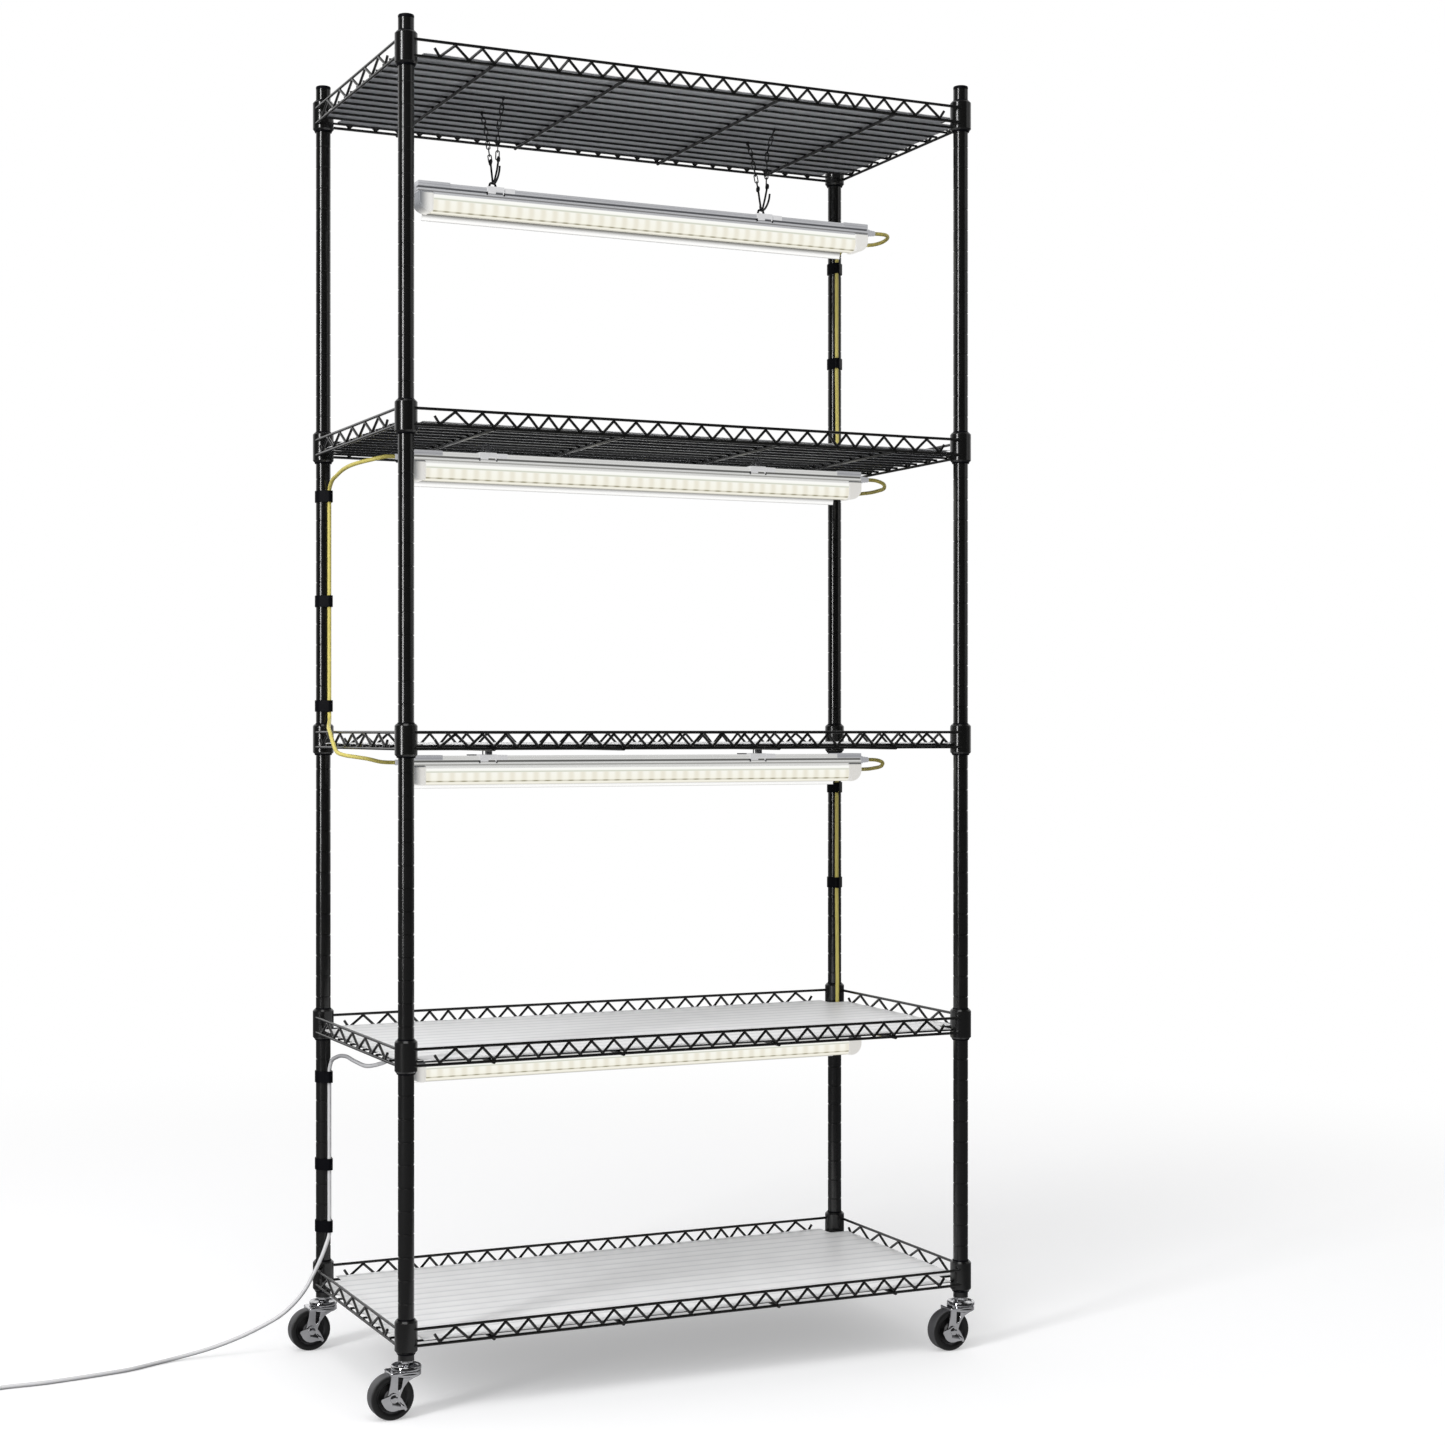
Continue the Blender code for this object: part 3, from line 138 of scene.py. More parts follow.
def add_node(tree: Tree, kind: str, settings: dict | None = None,
             values: dict | None = None, links: dict | None = None) -> bpy.types.Node:
    """Add a node with its settings, its sockets' values and its links.

    Args:
        tree: the node tree.
        kind: the node's type name.
        settings: properties by name.
        values: fixed values by socket.
        links: output sockets by the input socket that each feeds.

    Returns:
        The new node.
    """
    node = tree.nodes.new(kind)
    for name, value in (settings or {}).items():
        setattr(node, name, value)
    for socket, value in (values or {}).items():
        node.inputs[socket].default_value = value
    for socket, source in (links or {}).items():
        tree.links.new(source, node.inputs[socket])
    return node


@dataclass(frozen=True)
class Finish:
    """A surface: its base shader and the two patterns that nearly all finishes share.

    Blotches are soft changes of shade and gloss a few centimetres across. Grain is the relief
    that the coating, mould or extrusion leaves.
    """

    name: str
    colour: str
    shade_to: str
    roughness: float
    roughness_to: float
    blotch_size: float
    grain_size: float
    grain_depth: float
    grain_stretch: Point = (1.0, 1.0, 1.0)
    metallic: float = 0.0
    specular: float = 0.5
    # A painted shade towards the edges that turn from the view, where one is given.
    painted_edge_shade: str = ""
    slot: Slot = Slot.PLASTIC

    def material(self) -> Material:
        """Return the finish as a node material on Object coordinates."""
        made = bpy.data.materials.new(self.name)
        made.use_nodes = True
        tree = made.node_tree
        shader = tree.nodes["Principled BSDF"]
        shader.inputs["Metallic"].default_value = self.metallic
        shader.inputs["Specular IOR Level"].default_value = self.specular
        place = add_node(tree, "ShaderNodeTexCoord").outputs["Object"]
        blotch = add_node(tree, "ShaderNodeTexNoise", values={
            "Scale": 1 / self.blotch_size, "Detail": 3.0}, links={"Vector": place})
        shade = add_node(tree, "ShaderNodeMix", {"data_type": "RGBA"},
                         links={0: blotch.outputs["Fac"]})
        shade.inputs[6].default_value = linear(self.colour)
        shade.inputs[7].default_value = linear(self.shade_to)
        gloss = add_node(tree, "ShaderNodeMapRange", values={
            "From Min": 0.3, "From Max": 0.7, "To Min": self.roughness,
            "To Max": self.roughness_to}, links={"Value": blotch.outputs["Fac"]})
        stretch = add_node(tree, "ShaderNodeMapping", values={"Scale": self.grain_stretch},
                           links={"Vector": place})
        grain = add_node(tree, "ShaderNodeTexNoise", values={
            "Scale": 1 / self.grain_size, "Detail": 2.0}, links={"Vector": stretch.outputs[0]})
        relief = add_node(tree, "ShaderNodeBump", values={
            "Strength": 1.0, "Distance": self.grain_depth}, links={"Height": grain.outputs["Fac"]})
        colour = self.coloured(tree, shader, shade.outputs[2])
        tree.links.new(colour, shader.inputs["Base Color"])
        tree.links.new(gloss.outputs["Result"], shader.inputs["Roughness"])
        tree.links.new(relief.outputs["Normal"], shader.inputs["Normal"])
        return made

    def coloured(self, tree: Tree, shader: bpy.types.Node, colour: Socket) -> Socket:
        """Return the base colour with what this kind of finish adds to it.

        Args:
            tree: the material's nodes.
            shader: the base shader, for finishes that also carry a painted glow.
            colour: the blotched colour.

        Returns:
            The colour for the base shader.
        """
        if not self.painted_edge_shade:
            return colour
        # Painted shade: the colour darkens towards the edges that turn away from the view.
        facing = add_node(tree, "ShaderNodeLayerWeight", values={"Blend": 0.5})
        edge = soft_step(tree, facing.outputs["Facing"], 0.35, 0.95)
        return laid_over(tree, colour, self.painted_edge_shade, edge)


# Epoxy powder coat on steel: a black skin with soft gloss and a faint orange peel. The real peel
# is about 1 mm across, and it is drawn 3 mm across so that it shows.
POWDER_COAT = Finish("epoxy_powder_coat", "#0b0b0b", "#111110", 0.16, 0.22, 0.06, 0.003, 0.000002,
                     specular=0.7, slot=Slot.PAINT)
# Moulded nylon with a spark-eroded grain: darker and duller than the coat beside it.
BLACK_NYLON = Finish("moulded_black_nylon", "#09090d", "#0e0e13", 0.40, 0.5, 0.03, 0.0012, 0.00001,
                     specular=0.05)
# Chromium plate on pressed steel: bright, with faint smears that soften its reflections.
CHROME_PLATE = Finish("chromium_plate", "#dcdcde", "#c4c4c7", 0.05, 0.13, 0.012, 0.004, 0.00001,
                      metallic=1.0, slot=Slot.CHROME)
# Steel hook wire and chain, zinc plated and gone dark.
DARK_ZINC = Finish("dark_zinc", "#131314", "#232426", 0.3, 0.45, 0.008, 0.002, 0.00005,
                   metallic=0.4, specular=0.3, slot=Slot.CHROME)
# Bright zinc on the small spring hooks under the decks.
BRIGHT_ZINC = replace(DARK_ZINC, name="bright_zinc", colour="#6c6c6e", shade_to="#838386",
                      metallic=0.6)
# PVC cable jacket in mustard yellow, extruded: a soft sheen along its length.
YELLOW_PVC = Finish("yellow_cable_jacket", "#dccf76", "#cfc268", 0.4, 0.5, 0.03, 0.004, 0.000004,
                    specular=0.3, slot=Slot.CABLE)
# PVC cord jacket in white, darkened towards its edges that turn from the view as painted shade.
WHITE_PVC = Finish("white_cord_jacket", "#dededf", "#d4d4d6", 0.34, 0.46, 0.03, 0.004, 0.000004,
                   painted_edge_shade="#85858a", slot=Slot.CORD)
# Moulded white ABS of the timer and the plug.
WHITE_ABS = Finish("moulded_white_abs", "#f2f2f3", "#eaeaeb", 0.3, 0.42, 0.02, 0.001, 0.00003,
                   slot=Slot.CASE)
# Light grey ABS panel with a fine etched grain.
GREY_ABS = Finish("etched_grey_abs", "#e3e4e6", "#dadbdd", 0.42, 0.55, 0.02, 0.0008, 0.00004,
                  slot=Slot.PANEL)
# Silk-screened ink marks.
BLACK_INK = Finish("screen_ink_black", "#232325", "#2c2c2f", 0.5, 0.6, 0.01, 0.001, 0.00002)
RED_INK = Finish("screen_ink_red", "#c8262c", "#b82026", 0.45, 0.55, 0.01, 0.001, 0.00002)
# Nickel-plated plug blades.
NICKEL = Finish("nickel_plate", "#cfcabf", "#bdb8ad", 0.18, 0.3, 0.01, 0.002, 0.00003,
                metallic=1.0, slot=Slot.CHROME)


def strip_place(tree: Tree) -> tuple:
    """Return the sockets of a light's map: millimetres from its middle and down from its top."""
    chart = add_node(tree, "ShaderNodeUVMap", {"uv_map": "strip"})
    parts = add_node(tree, "ShaderNodeSeparateXYZ", links={0: chart.outputs["UV"]})
    return parts.outputs["X"], parts.outputs["Y"]


def math_node(tree: Tree, operation: str, first: object, second: object = 0.0) -> Socket:
    """Return the output of a math node whose inputs are sockets or numbers."""
    values, links = {}, {}
    for socket, source in ((0, first), (1, second)):
        if isinstance(source, Socket):
            links[socket] = source
        else:
            values[socket] = source
    return add_node(tree, "ShaderNodeMath", {"operation": operation}, values, links).outputs[0]


def soft_step(tree: Tree, value: Socket, start: float, end: float) -> Socket:
    """Return a socket that climbs smoothly from 0 at the start to 1 at the end."""
    return add_node(tree, "ShaderNodeMapRange", {"interpolation_type": "SMOOTHSTEP"}, {
        "From Min": start, "From Max": end}, {"Value": value}).outputs["Result"]


def part_of(tree: Tree, vector: Socket, axis: str) -> Socket:
    """Return one part of a vector."""
    return add_node(tree, "ShaderNodeSeparateXYZ", links={0: vector}).outputs[axis]


def between(tree: Tree, value: Socket, start: float, end: float, blur: float) -> Socket:
    """Return a socket that is 1 between two values, with soft edges."""
    return math_node(tree, "MULTIPLY", soft_step(tree, value, start - blur, start + blur),
                     soft_step(tree, value, end + blur, end - blur))


def laid_over(tree: Tree, under: Socket, over: str, share: Socket) -> Socket:
    """Return a colour with another colour laid over it by a share."""
    mix = add_node(tree, "ShaderNodeMix", {"data_type": "RGBA"}, links={0: share, 6: under})
    mix.inputs[7].default_value = linear(over)
    return mix.outputs[2]


@dataclass(frozen=True)
class SheetFinish(Finish):
    """A milky sheet through which the deck's wires show as soft darker bands, its underside in
    painted shade.
    """

    band_colour: str = "#dedfe0"
    band_pitch: float = 0.0245
    band_width: float = 0.0026
    band_blur: float = 0.0022
    painted_underside_shade: str = "#d6d8dc"
    under_step: Pair = (-0.3, -0.8)

    def coloured(self, tree: Tree, shader: bpy.types.Node, colour: Socket) -> Socket:
        """Return the colour with the bands on it, and the painted shade on the sheet's underside.
        """
        place = add_node(tree, "ShaderNodeTexCoord").outputs["Object"]
        folded = math_node(tree, "PINGPONG", part_of(tree, place, "Y"), self.band_pitch / 2)
        edge = self.band_pitch / 2 - self.band_width
        band = soft_step(tree, folded, edge - self.band_blur, edge + self.band_blur)
        banded = laid_over(tree, colour, self.band_colour, band)
        # Painted shade: faces that turn downwards take the darker underside colour.
        facing = add_node(tree, "ShaderNodeNewGeometry").outputs["True Normal"]
        under = soft_step(tree, part_of(tree, facing, "Z"), *self.under_step)
        return laid_over(tree, banded, self.painted_underside_shade, under)


@dataclass(frozen=True)
class TyreFinish(Finish):
    """Rubber whose tread, which faces away from the axle along Y, is painted paler than its walls
    as painted light.
    """

    painted_tread_light: str = "#4c4c4e"
    turn_away: Pair = (0.8, 0.3)

    def coloured(self, tree: Tree, shader: bpy.types.Node, colour: Socket) -> Socket:
        """Return the colour with the tread's painted light laid over it."""
        # Painted light: faces that turn away from the axle, the tread, take a paler colour.
        facing = add_node(tree, "ShaderNodeNewGeometry").outputs["True Normal"]
        own = add_node(tree, "ShaderNodeVectorTransform", {
            "vector_type": "NORMAL", "convert_from": "WORLD", "convert_to": "OBJECT"},
                       links={0: facing})
        along = math_node(tree, "ABSOLUTE", part_of(tree, own.outputs[0], "Y"))
        return laid_over(tree, colour, self.painted_tread_light, soft_step(tree, along, *self.turn_away))


@dataclass(frozen=True)
class BarFinish(Finish):
    """The bar's finish, lit through, with shaded lines down its side.

    Each line holds where it starts and ends in millimetres, and its painted shade.
    """

    # Lines of painted shade: in the groove, under the lip below it, and just under the top edge.
    lines: tuple[tuple[float, float, str], ...] = (
        (5.2, 7.6, "#66676b"), (9.8, 11.4, "#939394"), (2.3, 3.0, "#c3c4c9"))
    # The painted glow's strength, and the share of the colour that the base keeps under it.
    strength: float = 0.5
    own_share: float = 0.3

    def coloured(self, tree: Tree, shader: bpy.types.Node, colour: Socket) -> Socket:
        """Return the colour with the painted shade lines on it, and give the bar its painted glow.
        """
        down = strip_place(tree)[1]
        for start, end, shade in self.lines:
            colour = laid_over(tree, colour, shade, between(tree, down, start, end, 0.2))
        # Painted glow: the bar gives light in its own colour, though it is no lamp.
        tree.links.new(colour, shader.inputs["Emission Color"])
        shader.inputs["Emission Strength"].default_value = self.strength
        darker = add_node(tree, "ShaderNodeMix", {"data_type": "RGBA"}, {0: self.own_share},
                          {7: colour})
        darker.inputs[6].default_value = linear("#000000")
        return darker.outputs[2]


@dataclass(frozen=True)
class LitFinish(Finish):
    """A finish with a painted glow, stronger and stronger along or down the light."""

    along: bool = True
    dim_at: float = 0.0
    bright_at: float = 1.0
    below: float = 0.0
    glow: str = "#f8f5ee"
    strength: float = 0.6
    line_at: float = 0.0
    line_depth: float = 0.3
    painted_front_shade: str = ""

    def coloured(self, tree: Tree, shader: bpy.types.Node, colour: Socket) -> Socket:
        """Return the colour, and put the painted glow on it.

        Where a painted front shade is given, only the side that faces the front glows, on that
        painted shade.
        """
        along, down = strip_place(tree)
        measure = along if self.along else down
        share = soft_step(tree, measure, self.dim_at, self.bright_at)
        lower = soft_step(tree, down, self.below - 1.0, self.below + 1.0)
        light = math_node(tree, "MULTIPLY", math_node(tree, "MULTIPLY", share, lower),
                          self.strength)
        # A line of painted shade: the painted glow drops below it.
        if self.line_at:
            line = soft_step(tree, down, self.line_at - 0.2, self.line_at + 0.2)
            light = math_node(tree, "SUBTRACT", light,
                              math_node(tree, "MULTIPLY", line, self.line_depth))
        # Painted shade on the side that faces the front, where the painted glow also falls; the
        # back keeps its colour.
        if self.painted_front_shade:
            facing = add_node(tree, "ShaderNodeNewGeometry").outputs["True Normal"]
            front = soft_step(tree, part_of(tree, facing, "Y"), 0.1, -0.3)
            light = math_node(tree, "MULTIPLY", light, front)
            colour = laid_over(tree, colour, self.painted_front_shade, front)
        shader.inputs["Emission Color"].default_value = linear(self.glow)
        tree.links.new(light, shader.inputs["Emission Strength"])
        return colour


@dataclass(frozen=True)
class CoverFinish:
    """Frosted cover with the lit board behind it, its lower curve darkened as painted shade.

    The cover's UV map holds millimetres: along the light, and down from the housing's top.
    """

    name: str = "lit_frosted_cover"
    slot: Slot = Slot.COVER
    # Shades down the cover's side; the last two are painted shade on its lower curve.
    shades: tuple[tuple[float, str], ...] = (
        (14.5, "#f4f4f2"), (15.2, "#fffffb"), (17.6, "#fafaf4"), (18.1, "#d5d8ca"),
        (19.1, "#d5d8ca"), (19.6, "#fbfaf2"), (28.0, "#f9f7ea"), (30.0, "#f7f4e7"),
        (33.0, "#f4f1e4"), (36.0, "#c2bfb2"), (40.0, "#8c8a84"))
    gap_colour: str = "#eeeadb"
    dash: str = "#a29d86"
    diode_pitch: float = 15.2
    diode_width: float = 9.0
    zone_top: float = 19.5
    dash_top: float = 28.3
    dash_foot: float = 30.1
    blur: float = 0.3
    body: str = "#20201e"
    strength: float = 0.97

    def material(self) -> Material:
        """Return the cover's material: bright diodes, a seam above, a dashed edge below and painted
        shade on the lower curve.
        """
        made = bpy.data.materials.new(self.name)
        made.use_nodes = True
        tree = made.node_tree
        shader = tree.nodes["Principled BSDF"]
        shader.inputs["Roughness"].default_value = 0.4
        shader.inputs["Specular IOR Level"].default_value = 0.2
        shader.inputs["Base Color"].default_value = linear(self.body)
        along, down = strip_place(tree)
        share = add_node(tree, "ShaderNodeMapRange", values={
            "From Min": self.shades[0][0], "From Max": self.shades[-1][0]}, links={"Value": down})
        ramp = add_node(tree, "ShaderNodeValToRGB", links={0: share.outputs["Result"]})
        self.fill_ramp(ramp.color_ramp)
        gap = self.between_diodes(tree, along)
        zone = between(tree, down, self.zone_top, self.dash_top, self.blur)
        colour = laid_over(tree, ramp.outputs["Color"], self.gap_colour,
                           math_node(tree, "MULTIPLY", gap, zone))
        dashes = math_node(tree, "MULTIPLY", math_node(
            tree, "ADD", math_node(tree, "MULTIPLY", gap, 0.5), 0.5),
            between(tree, down, self.dash_top, self.dash_foot, self.blur))
        colour = laid_over(tree, colour, self.dash, dashes)
        tree.links.new(colour, shader.inputs["Emission Color"])
        shader.inputs["Emission Strength"].default_value = self.strength
        return made

    def fill_ramp(self, ramp: bpy.types.ColorRamp) -> None:
        """Write the shades down the cover's side into a colour ramp."""
        top, foot = self.shades[0][0], self.shades[-1][0]
        for index, (depth, colour) in enumerate(self.shades):
            share = (depth - top) / (foot - top)
            stop = ramp.elements.new(share) if 0 < index < len(self.shades) - 1 else (
                ramp.elements[0 if index == 0 else -1])
            stop.position = share
            stop.color = linear(colour)

    def between_diodes(self, tree: Tree, along: Socket) -> Socket:
        """Return a socket that is 0 at each diode and 1 between the diodes."""
        folded = math_node(tree, "PINGPONG", along, self.diode_pitch / 2)
        return soft_step(tree, folded, self.diode_width / 2 - 3.0, self.diode_width / 2 + 2.4)


# Thermoplastic rubber tyre: deep grey-black with a dull bloom, its tread painted paler as painted
# light.
TYRE_RUBBER = TyreFinish("tyre_rubber", "#090909", "#101010", 0.40, 0.52, 0.02, 0.0015, 0.00002,
                         specular=0.5, slot=Slot.RUBBER)
# Thin polypropylene sheet, calendered: milky white, the wires below showing through, its underside
# darkened as painted shade.
LINER_SHEET = SheetFinish("polypropylene_sheet", "#fafafa", "#eeeeef", 0.38, 0.5, 0.03, 0.004,
                          0.00002, grain_stretch=(0.15, 1.0, 1.0), slot=Slot.LINER)
# Extruded polycarbonate in cool light grey, with a painted glow, and painted shade in its groove,
# under its lip and under its top edge.
LAMP_EXTRUSION = BarFinish("extruded_polycarbonate", "#dcdde0", "#cfd0d4", 0.3, 0.42, 0.05, 0.0016,
                           0.00001, grain_stretch=(0.05, 1.0, 1.0), slot=Slot.LAMP)
# The blocks on a light's ends, moulded a shade darker than the bar, with a painted glow and a line
# of painted shade under the top edge.
LAMP_BLOCK = BarFinish("moulded_end_block", "#d6d7da", "#cacbd0", 0.3, 0.4, 0.02, 0.0015, 0.00001,
                       lines=((2.2, 3.0, "#b4b5ba"),), slot=Slot.LAMP)
# The same bar with a stronger painted glow, standing in for the light that a deck's liner sends
# back onto it, and its lines of painted shade retinted.
LIT_EXTRUSION = replace(LAMP_EXTRUSION, name="lit_polycarbonate", colour="#dededc",
                        shade_to="#d4d4d2", strength=0.82, lines=(
                            (5.2, 7.6, "#646462"), (9.8, 11.4, "#a3a39f"), (2.3, 3.0, "#cdcdca")))
# The light's clips, moulded in a whiter shade than the bar, with a painted glow.
LAMP_CLIP = BarFinish("moulded_clip_white", "#f4f4f5", "#eaeaec", 0.3, 0.4, 0.02, 0.0015, 0.00001,
                      lines=(), strength=0.6, slot=Slot.LAMP)
# Moulded polycarbonate end caps with a painted glow on their lower part that fades out at the left
# end, whose face keeps a painted shade.
LAMP_END = LitFinish("moulded_polycarbonate", "#909397", "#85888c", 0.28, 0.4, 0.02, 0.0015,
                     0.00001, dim_at=-301.0, bright_at=-287.0, below=13.0, strength=0.66,
                     slot=Slot.LAMP)
# White enamel on the reflector sheet. Its front side is painted: painted shade near the tube, a
# painted glow towards its foot, and a thin rim of painted shade.
REFLECTOR = LitFinish("reflector_enamel", "#f0f0ef", "#e6e6e5", 0.3, 0.4, 0.05, 0.003, 0.00001,
                      along=False, dim_at=30.5, bright_at=37.0, glow="#ffffff", strength=0.85,
                      line_at=38.4, painted_front_shade="#8b8a87", slot=Slot.LAMP)


# Modelling by hand
def move_by(x: float, y: float, z: float) -> Matrix:
    """Return a move."""
    return Matrix.Translation((x, y, z))


def turn_by(angle: float, axis: str = "Z") -> Matrix:
    """Return a turn about an axis, in degrees."""
    return Matrix.Rotation(math.radians(angle), 4, axis)


def discard(*items: Item) -> None:
    """Remove pieces that were patterns for copies, or tools."""
    for item in items:
        bpy.data.objects.remove(item, do_unlink=True)


def deselect() -> None:
    """Leave edit mode and select nothing."""
    if bpy.context.mode != "OBJECT":
        bpy.ops.object.mode_set(mode="OBJECT")
    bpy.ops.object.select_all(action="DESELECT")


def pick(items: list[Item]) -> Item:
    """Select the items only, and make the first one active."""
    deselect()
    for item in items:
        item.select_set(True)
    bpy.context.view_layer.objects.active = items[0]
    return items[0]


def edit_all() -> None:
    """Enter edit mode on the active object with everything selected."""
    bpy.ops.object.mode_set(mode="EDIT")
    bpy.ops.mesh.select_all(action="SELECT")


def closed_up(item: Item) -> Item:
    """Weld the active mesh's doubles, turn its faces outwards and smooth it by angle."""
    pick([item])
    edit_all()
    bpy.ops.mesh.remove_doubles(threshold=PLACE_TOLERANCE)
    bpy.ops.mesh.normals_make_consistent(inside=False)
    bpy.ops.object.mode_set(mode="OBJECT")
    bpy.ops.object.shade_smooth_by_angle(angle=SMOOTH_ANGLE)
    return item


def moved(item: Item, matrix: Matrix) -> Item:
    """Move a piece's mesh and leave its object at the origin."""
    item.data.transform(matrix)
    if matrix.determinant() < 0:
        item.data.flip_normals()
    return item


def copied(item: Item, matrix: Matrix) -> Item:
    """Return a copy of a piece, with its own mesh, moved by the matrix."""
    pick([item])
    bpy.ops.object.duplicate(linked=False)
    return moved(bpy.context.object, matrix)


def merged(items: list[Item]) -> Item:
    """Join several pieces into one object."""
    pick(items)
    if len(items) > 1:
        bpy.ops.object.join()
    return bpy.context.object


def softened(item: Item, width: float, segments: int = 2) -> Item:
    """Round a piece's sharp edges with a bevel."""
    pick([item])
    bevel = item.modifiers.new("edges", "BEVEL")
    bevel.width = width
    bevel.segments = segments
    bevel.limit_method = "ANGLE"
    bpy.ops.object.modifier_apply(modifier="edges")
    bpy.ops.object.shade_smooth_by_angle(angle=SMOOTH_ANGLE)
    return item


def cut_by(item: Item, tool: Item) -> Item:
    """Cut a tool's shape out of a piece."""
    pick([item])
    step = item.modifiers.new("cut", "BOOLEAN")
    step.operation = "DIFFERENCE"
    step.solver = "EXACT"
    step.object = tool
    bpy.ops.object.modifier_apply(modifier="cut")
    discard(tool)
    return item


def turned(profile: Profile, sides: int, hollow: bool = False) -> Item:
    """Return a body of revolution round Z, raised ring by ring from a circle.

    Args:
        profile: radius and height of each ring, none of them on the axis.
        sides: corners of a ring.
        hollow: whether the last ring joins the first, as on a tube.

    Returns:
        The closed body.
    """
    deselect()
    radius, height = profile[0]
    bpy.ops.mesh.primitive_circle_add(vertices=sides, radius=radius, location=(0, 0, height))
    bpy.ops.object.transform_apply(location=True, rotation=False, scale=False)
    edit_all()
    for (radius, height), (wide, high) in zip(profile, profile[1:]):
        bpy.ops.mesh.extrude_region_move(
            TRANSFORM_OT_translate={"value": (0, 0, high - height)})
        if abs(wide - radius) > PLACE_TOLERANCE:
            grow = wide / radius
            bpy.ops.transform.resize(value=(grow, grow, 1), center_override=(0, 0, high))
    bpy.ops.mesh.select_all(action="DESELECT")
    bpy.ops.mesh.select_non_manifold()
    if hollow:
        bpy.ops.mesh.bridge_edge_loops()
    else:
        bpy.ops.mesh.select_all(action="SELECT")
        bpy.ops.mesh.fill_holes(sides=0)
    return closed_up(bpy.context.object)


def plate(outline: Profile, low: float, high: float) -> Item:
    """Return a flat body with an outline of x and y between two heights."""
    deselect()
    bpy.ops.mesh.primitive_circle_add(vertices=len(outline), radius=1.0, fill_type="NGON")
    item = bpy.context.object
    for vertex, (x, y) in zip(item.data.vertices, outline):
        vertex.co = (x, y, low)
    edit_all()
    bpy.ops.mesh.extrude_region_move(TRANSFORM_OT_translate={"value": (0, 0, high - low)})
    return closed_up(item)


def block(low: Point, high: Point, edge: float = 0.0) -> Item:
    """Return a box between two corners, with rounded edges."""
    deselect()
    middle = [(a + b) / 2 for a, b in zip(low, high)]
    bpy.ops.mesh.primitive_cube_add(size=1.0, location=middle)
    item = bpy.context.object
    item.scale = [b - a for a, b in zip(low, high)]
    bpy.ops.object.transform_apply(location=True, rotation=True, scale=True)
    return softened(item, edge) if edge else item


def arc(radius: float, centre: Pair, start: float, end: float, count: int) -> Profile:
    """Return points on an arc between two angles in degrees."""
    turns = [math.radians(start + (end - start) * step / (count - 1)) for step in range(count)]
    return [(centre[0] + radius * math.cos(turn), centre[1] + radius * math.sin(turn))
            for turn in turns]


def wire(points: list[Point], diameter: float, rings: int = 3, cyclic: bool = False) -> Item:
    """Return a round wire along the points, as a curve with closed ends."""
    deselect()
    bpy.ops.curve.primitive_nurbs_path_add(location=(0, 0, 0))
    item = bpy.context.object
    curve = item.data
    curve.splines.clear()
    spline = curve.splines.new("POLY")
    spline.points.add(len(points) - 1)
    for knot, place in zip(spline.points, points):
        knot.co = (*place, 1.0)
    spline.use_cyclic_u = cyclic
    curve.bevel_depth = diameter / 2
    curve.bevel_resolution = rings
    curve.use_fill_caps = not cyclic
    return item


def solid_wire(points: list[Point], diameter: float, rings: int = 3, cyclic: bool = False) -> Item:
    """Return a round wire along the points as a mesh."""
    item = wire(points, diameter, rings, cyclic)
    bpy.ops.object.convert(target="MESH")
    return closed_up(bpy.context.object)


def rounded(points: list[Point], radius: float, steps: int = 4) -> list[Point]:
    """Return a bent wire's line: straight runs with an arc-like bend at each inner corner."""
    line = [Vector(points[0])]
    for before, corner, after in zip(points, points[1:], points[2:]):
        here, back, on = Vector(corner), Vector(before), Vector(after)
        reach = min(radius, (back - here).length / 2.05, (on - here).length / 2.05)
        start = here + (back - here).normalized() * reach
        end = here + (on - here).normalized() * reach
        for step in range(steps + 1):
            t = step / steps
            line.append(start * (1 - t) ** 2 + here * 2 * t * (1 - t) + end * t ** 2)
    return [tuple(place) for place in line + [Vector(points[-1])]]


AXES_X_FIRST = Matrix(((0, 0, 1, 0), (1, 0, 0, 0), (0, 1, 0, 0), (0, 0, 0, 1)))
UPRIGHT = turn_by(90, "X")


def bar_along_x(outline: Profile, start: float, end: float) -> Item:
    """Return a bar with an outline of y and z between two places along X."""
    return moved(plate(outline, start, end), AXES_X_FIRST)


@dataclass
class Workshop:
    """Dresses finished pieces and puts them on the frame."""

    materials: dict[str, Material] = field(default_factory=dict)

    def place(self, item: Item, name: str, finish: object, stands_for: str = "",
              body: str = Body.STAND.value) -> Item:
        """Name a piece, give it its finish and let it ride on a body.

        Args:
            item: the finished piece, its place in its mesh.
            name: the piece's name.
            finish: what its surface is, and which of the record's slots that belongs to.
            stands_for: the frame's node that the piece replaces, if any.
            body: the frame's body that it moves with.

        Returns:
            The piece.
        """
        item.name = name
        item.data.name = name
        item.data.materials.clear()
        item.data.materials.append(self.material(finish))
        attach(item, body)
        if stands_for:
            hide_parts(stands_for)
        LOG.info("%s rides on %s", name, body)
        return item

    def material(self, finish: object) -> Material:
        """Return the finish's material, made once."""
        if finish.name not in self.materials:
            self.materials[finish.name] = finish.material()
        return self.materials[finish.name]

    def repaint(self, frame: dict, node: str, finish: object) -> None:
        """Give a frame node that stays in sight its finish."""
        mesh = frame["nodes"][node].data
        mesh.materials.clear()
        mesh.materials.append(self.material(finish))


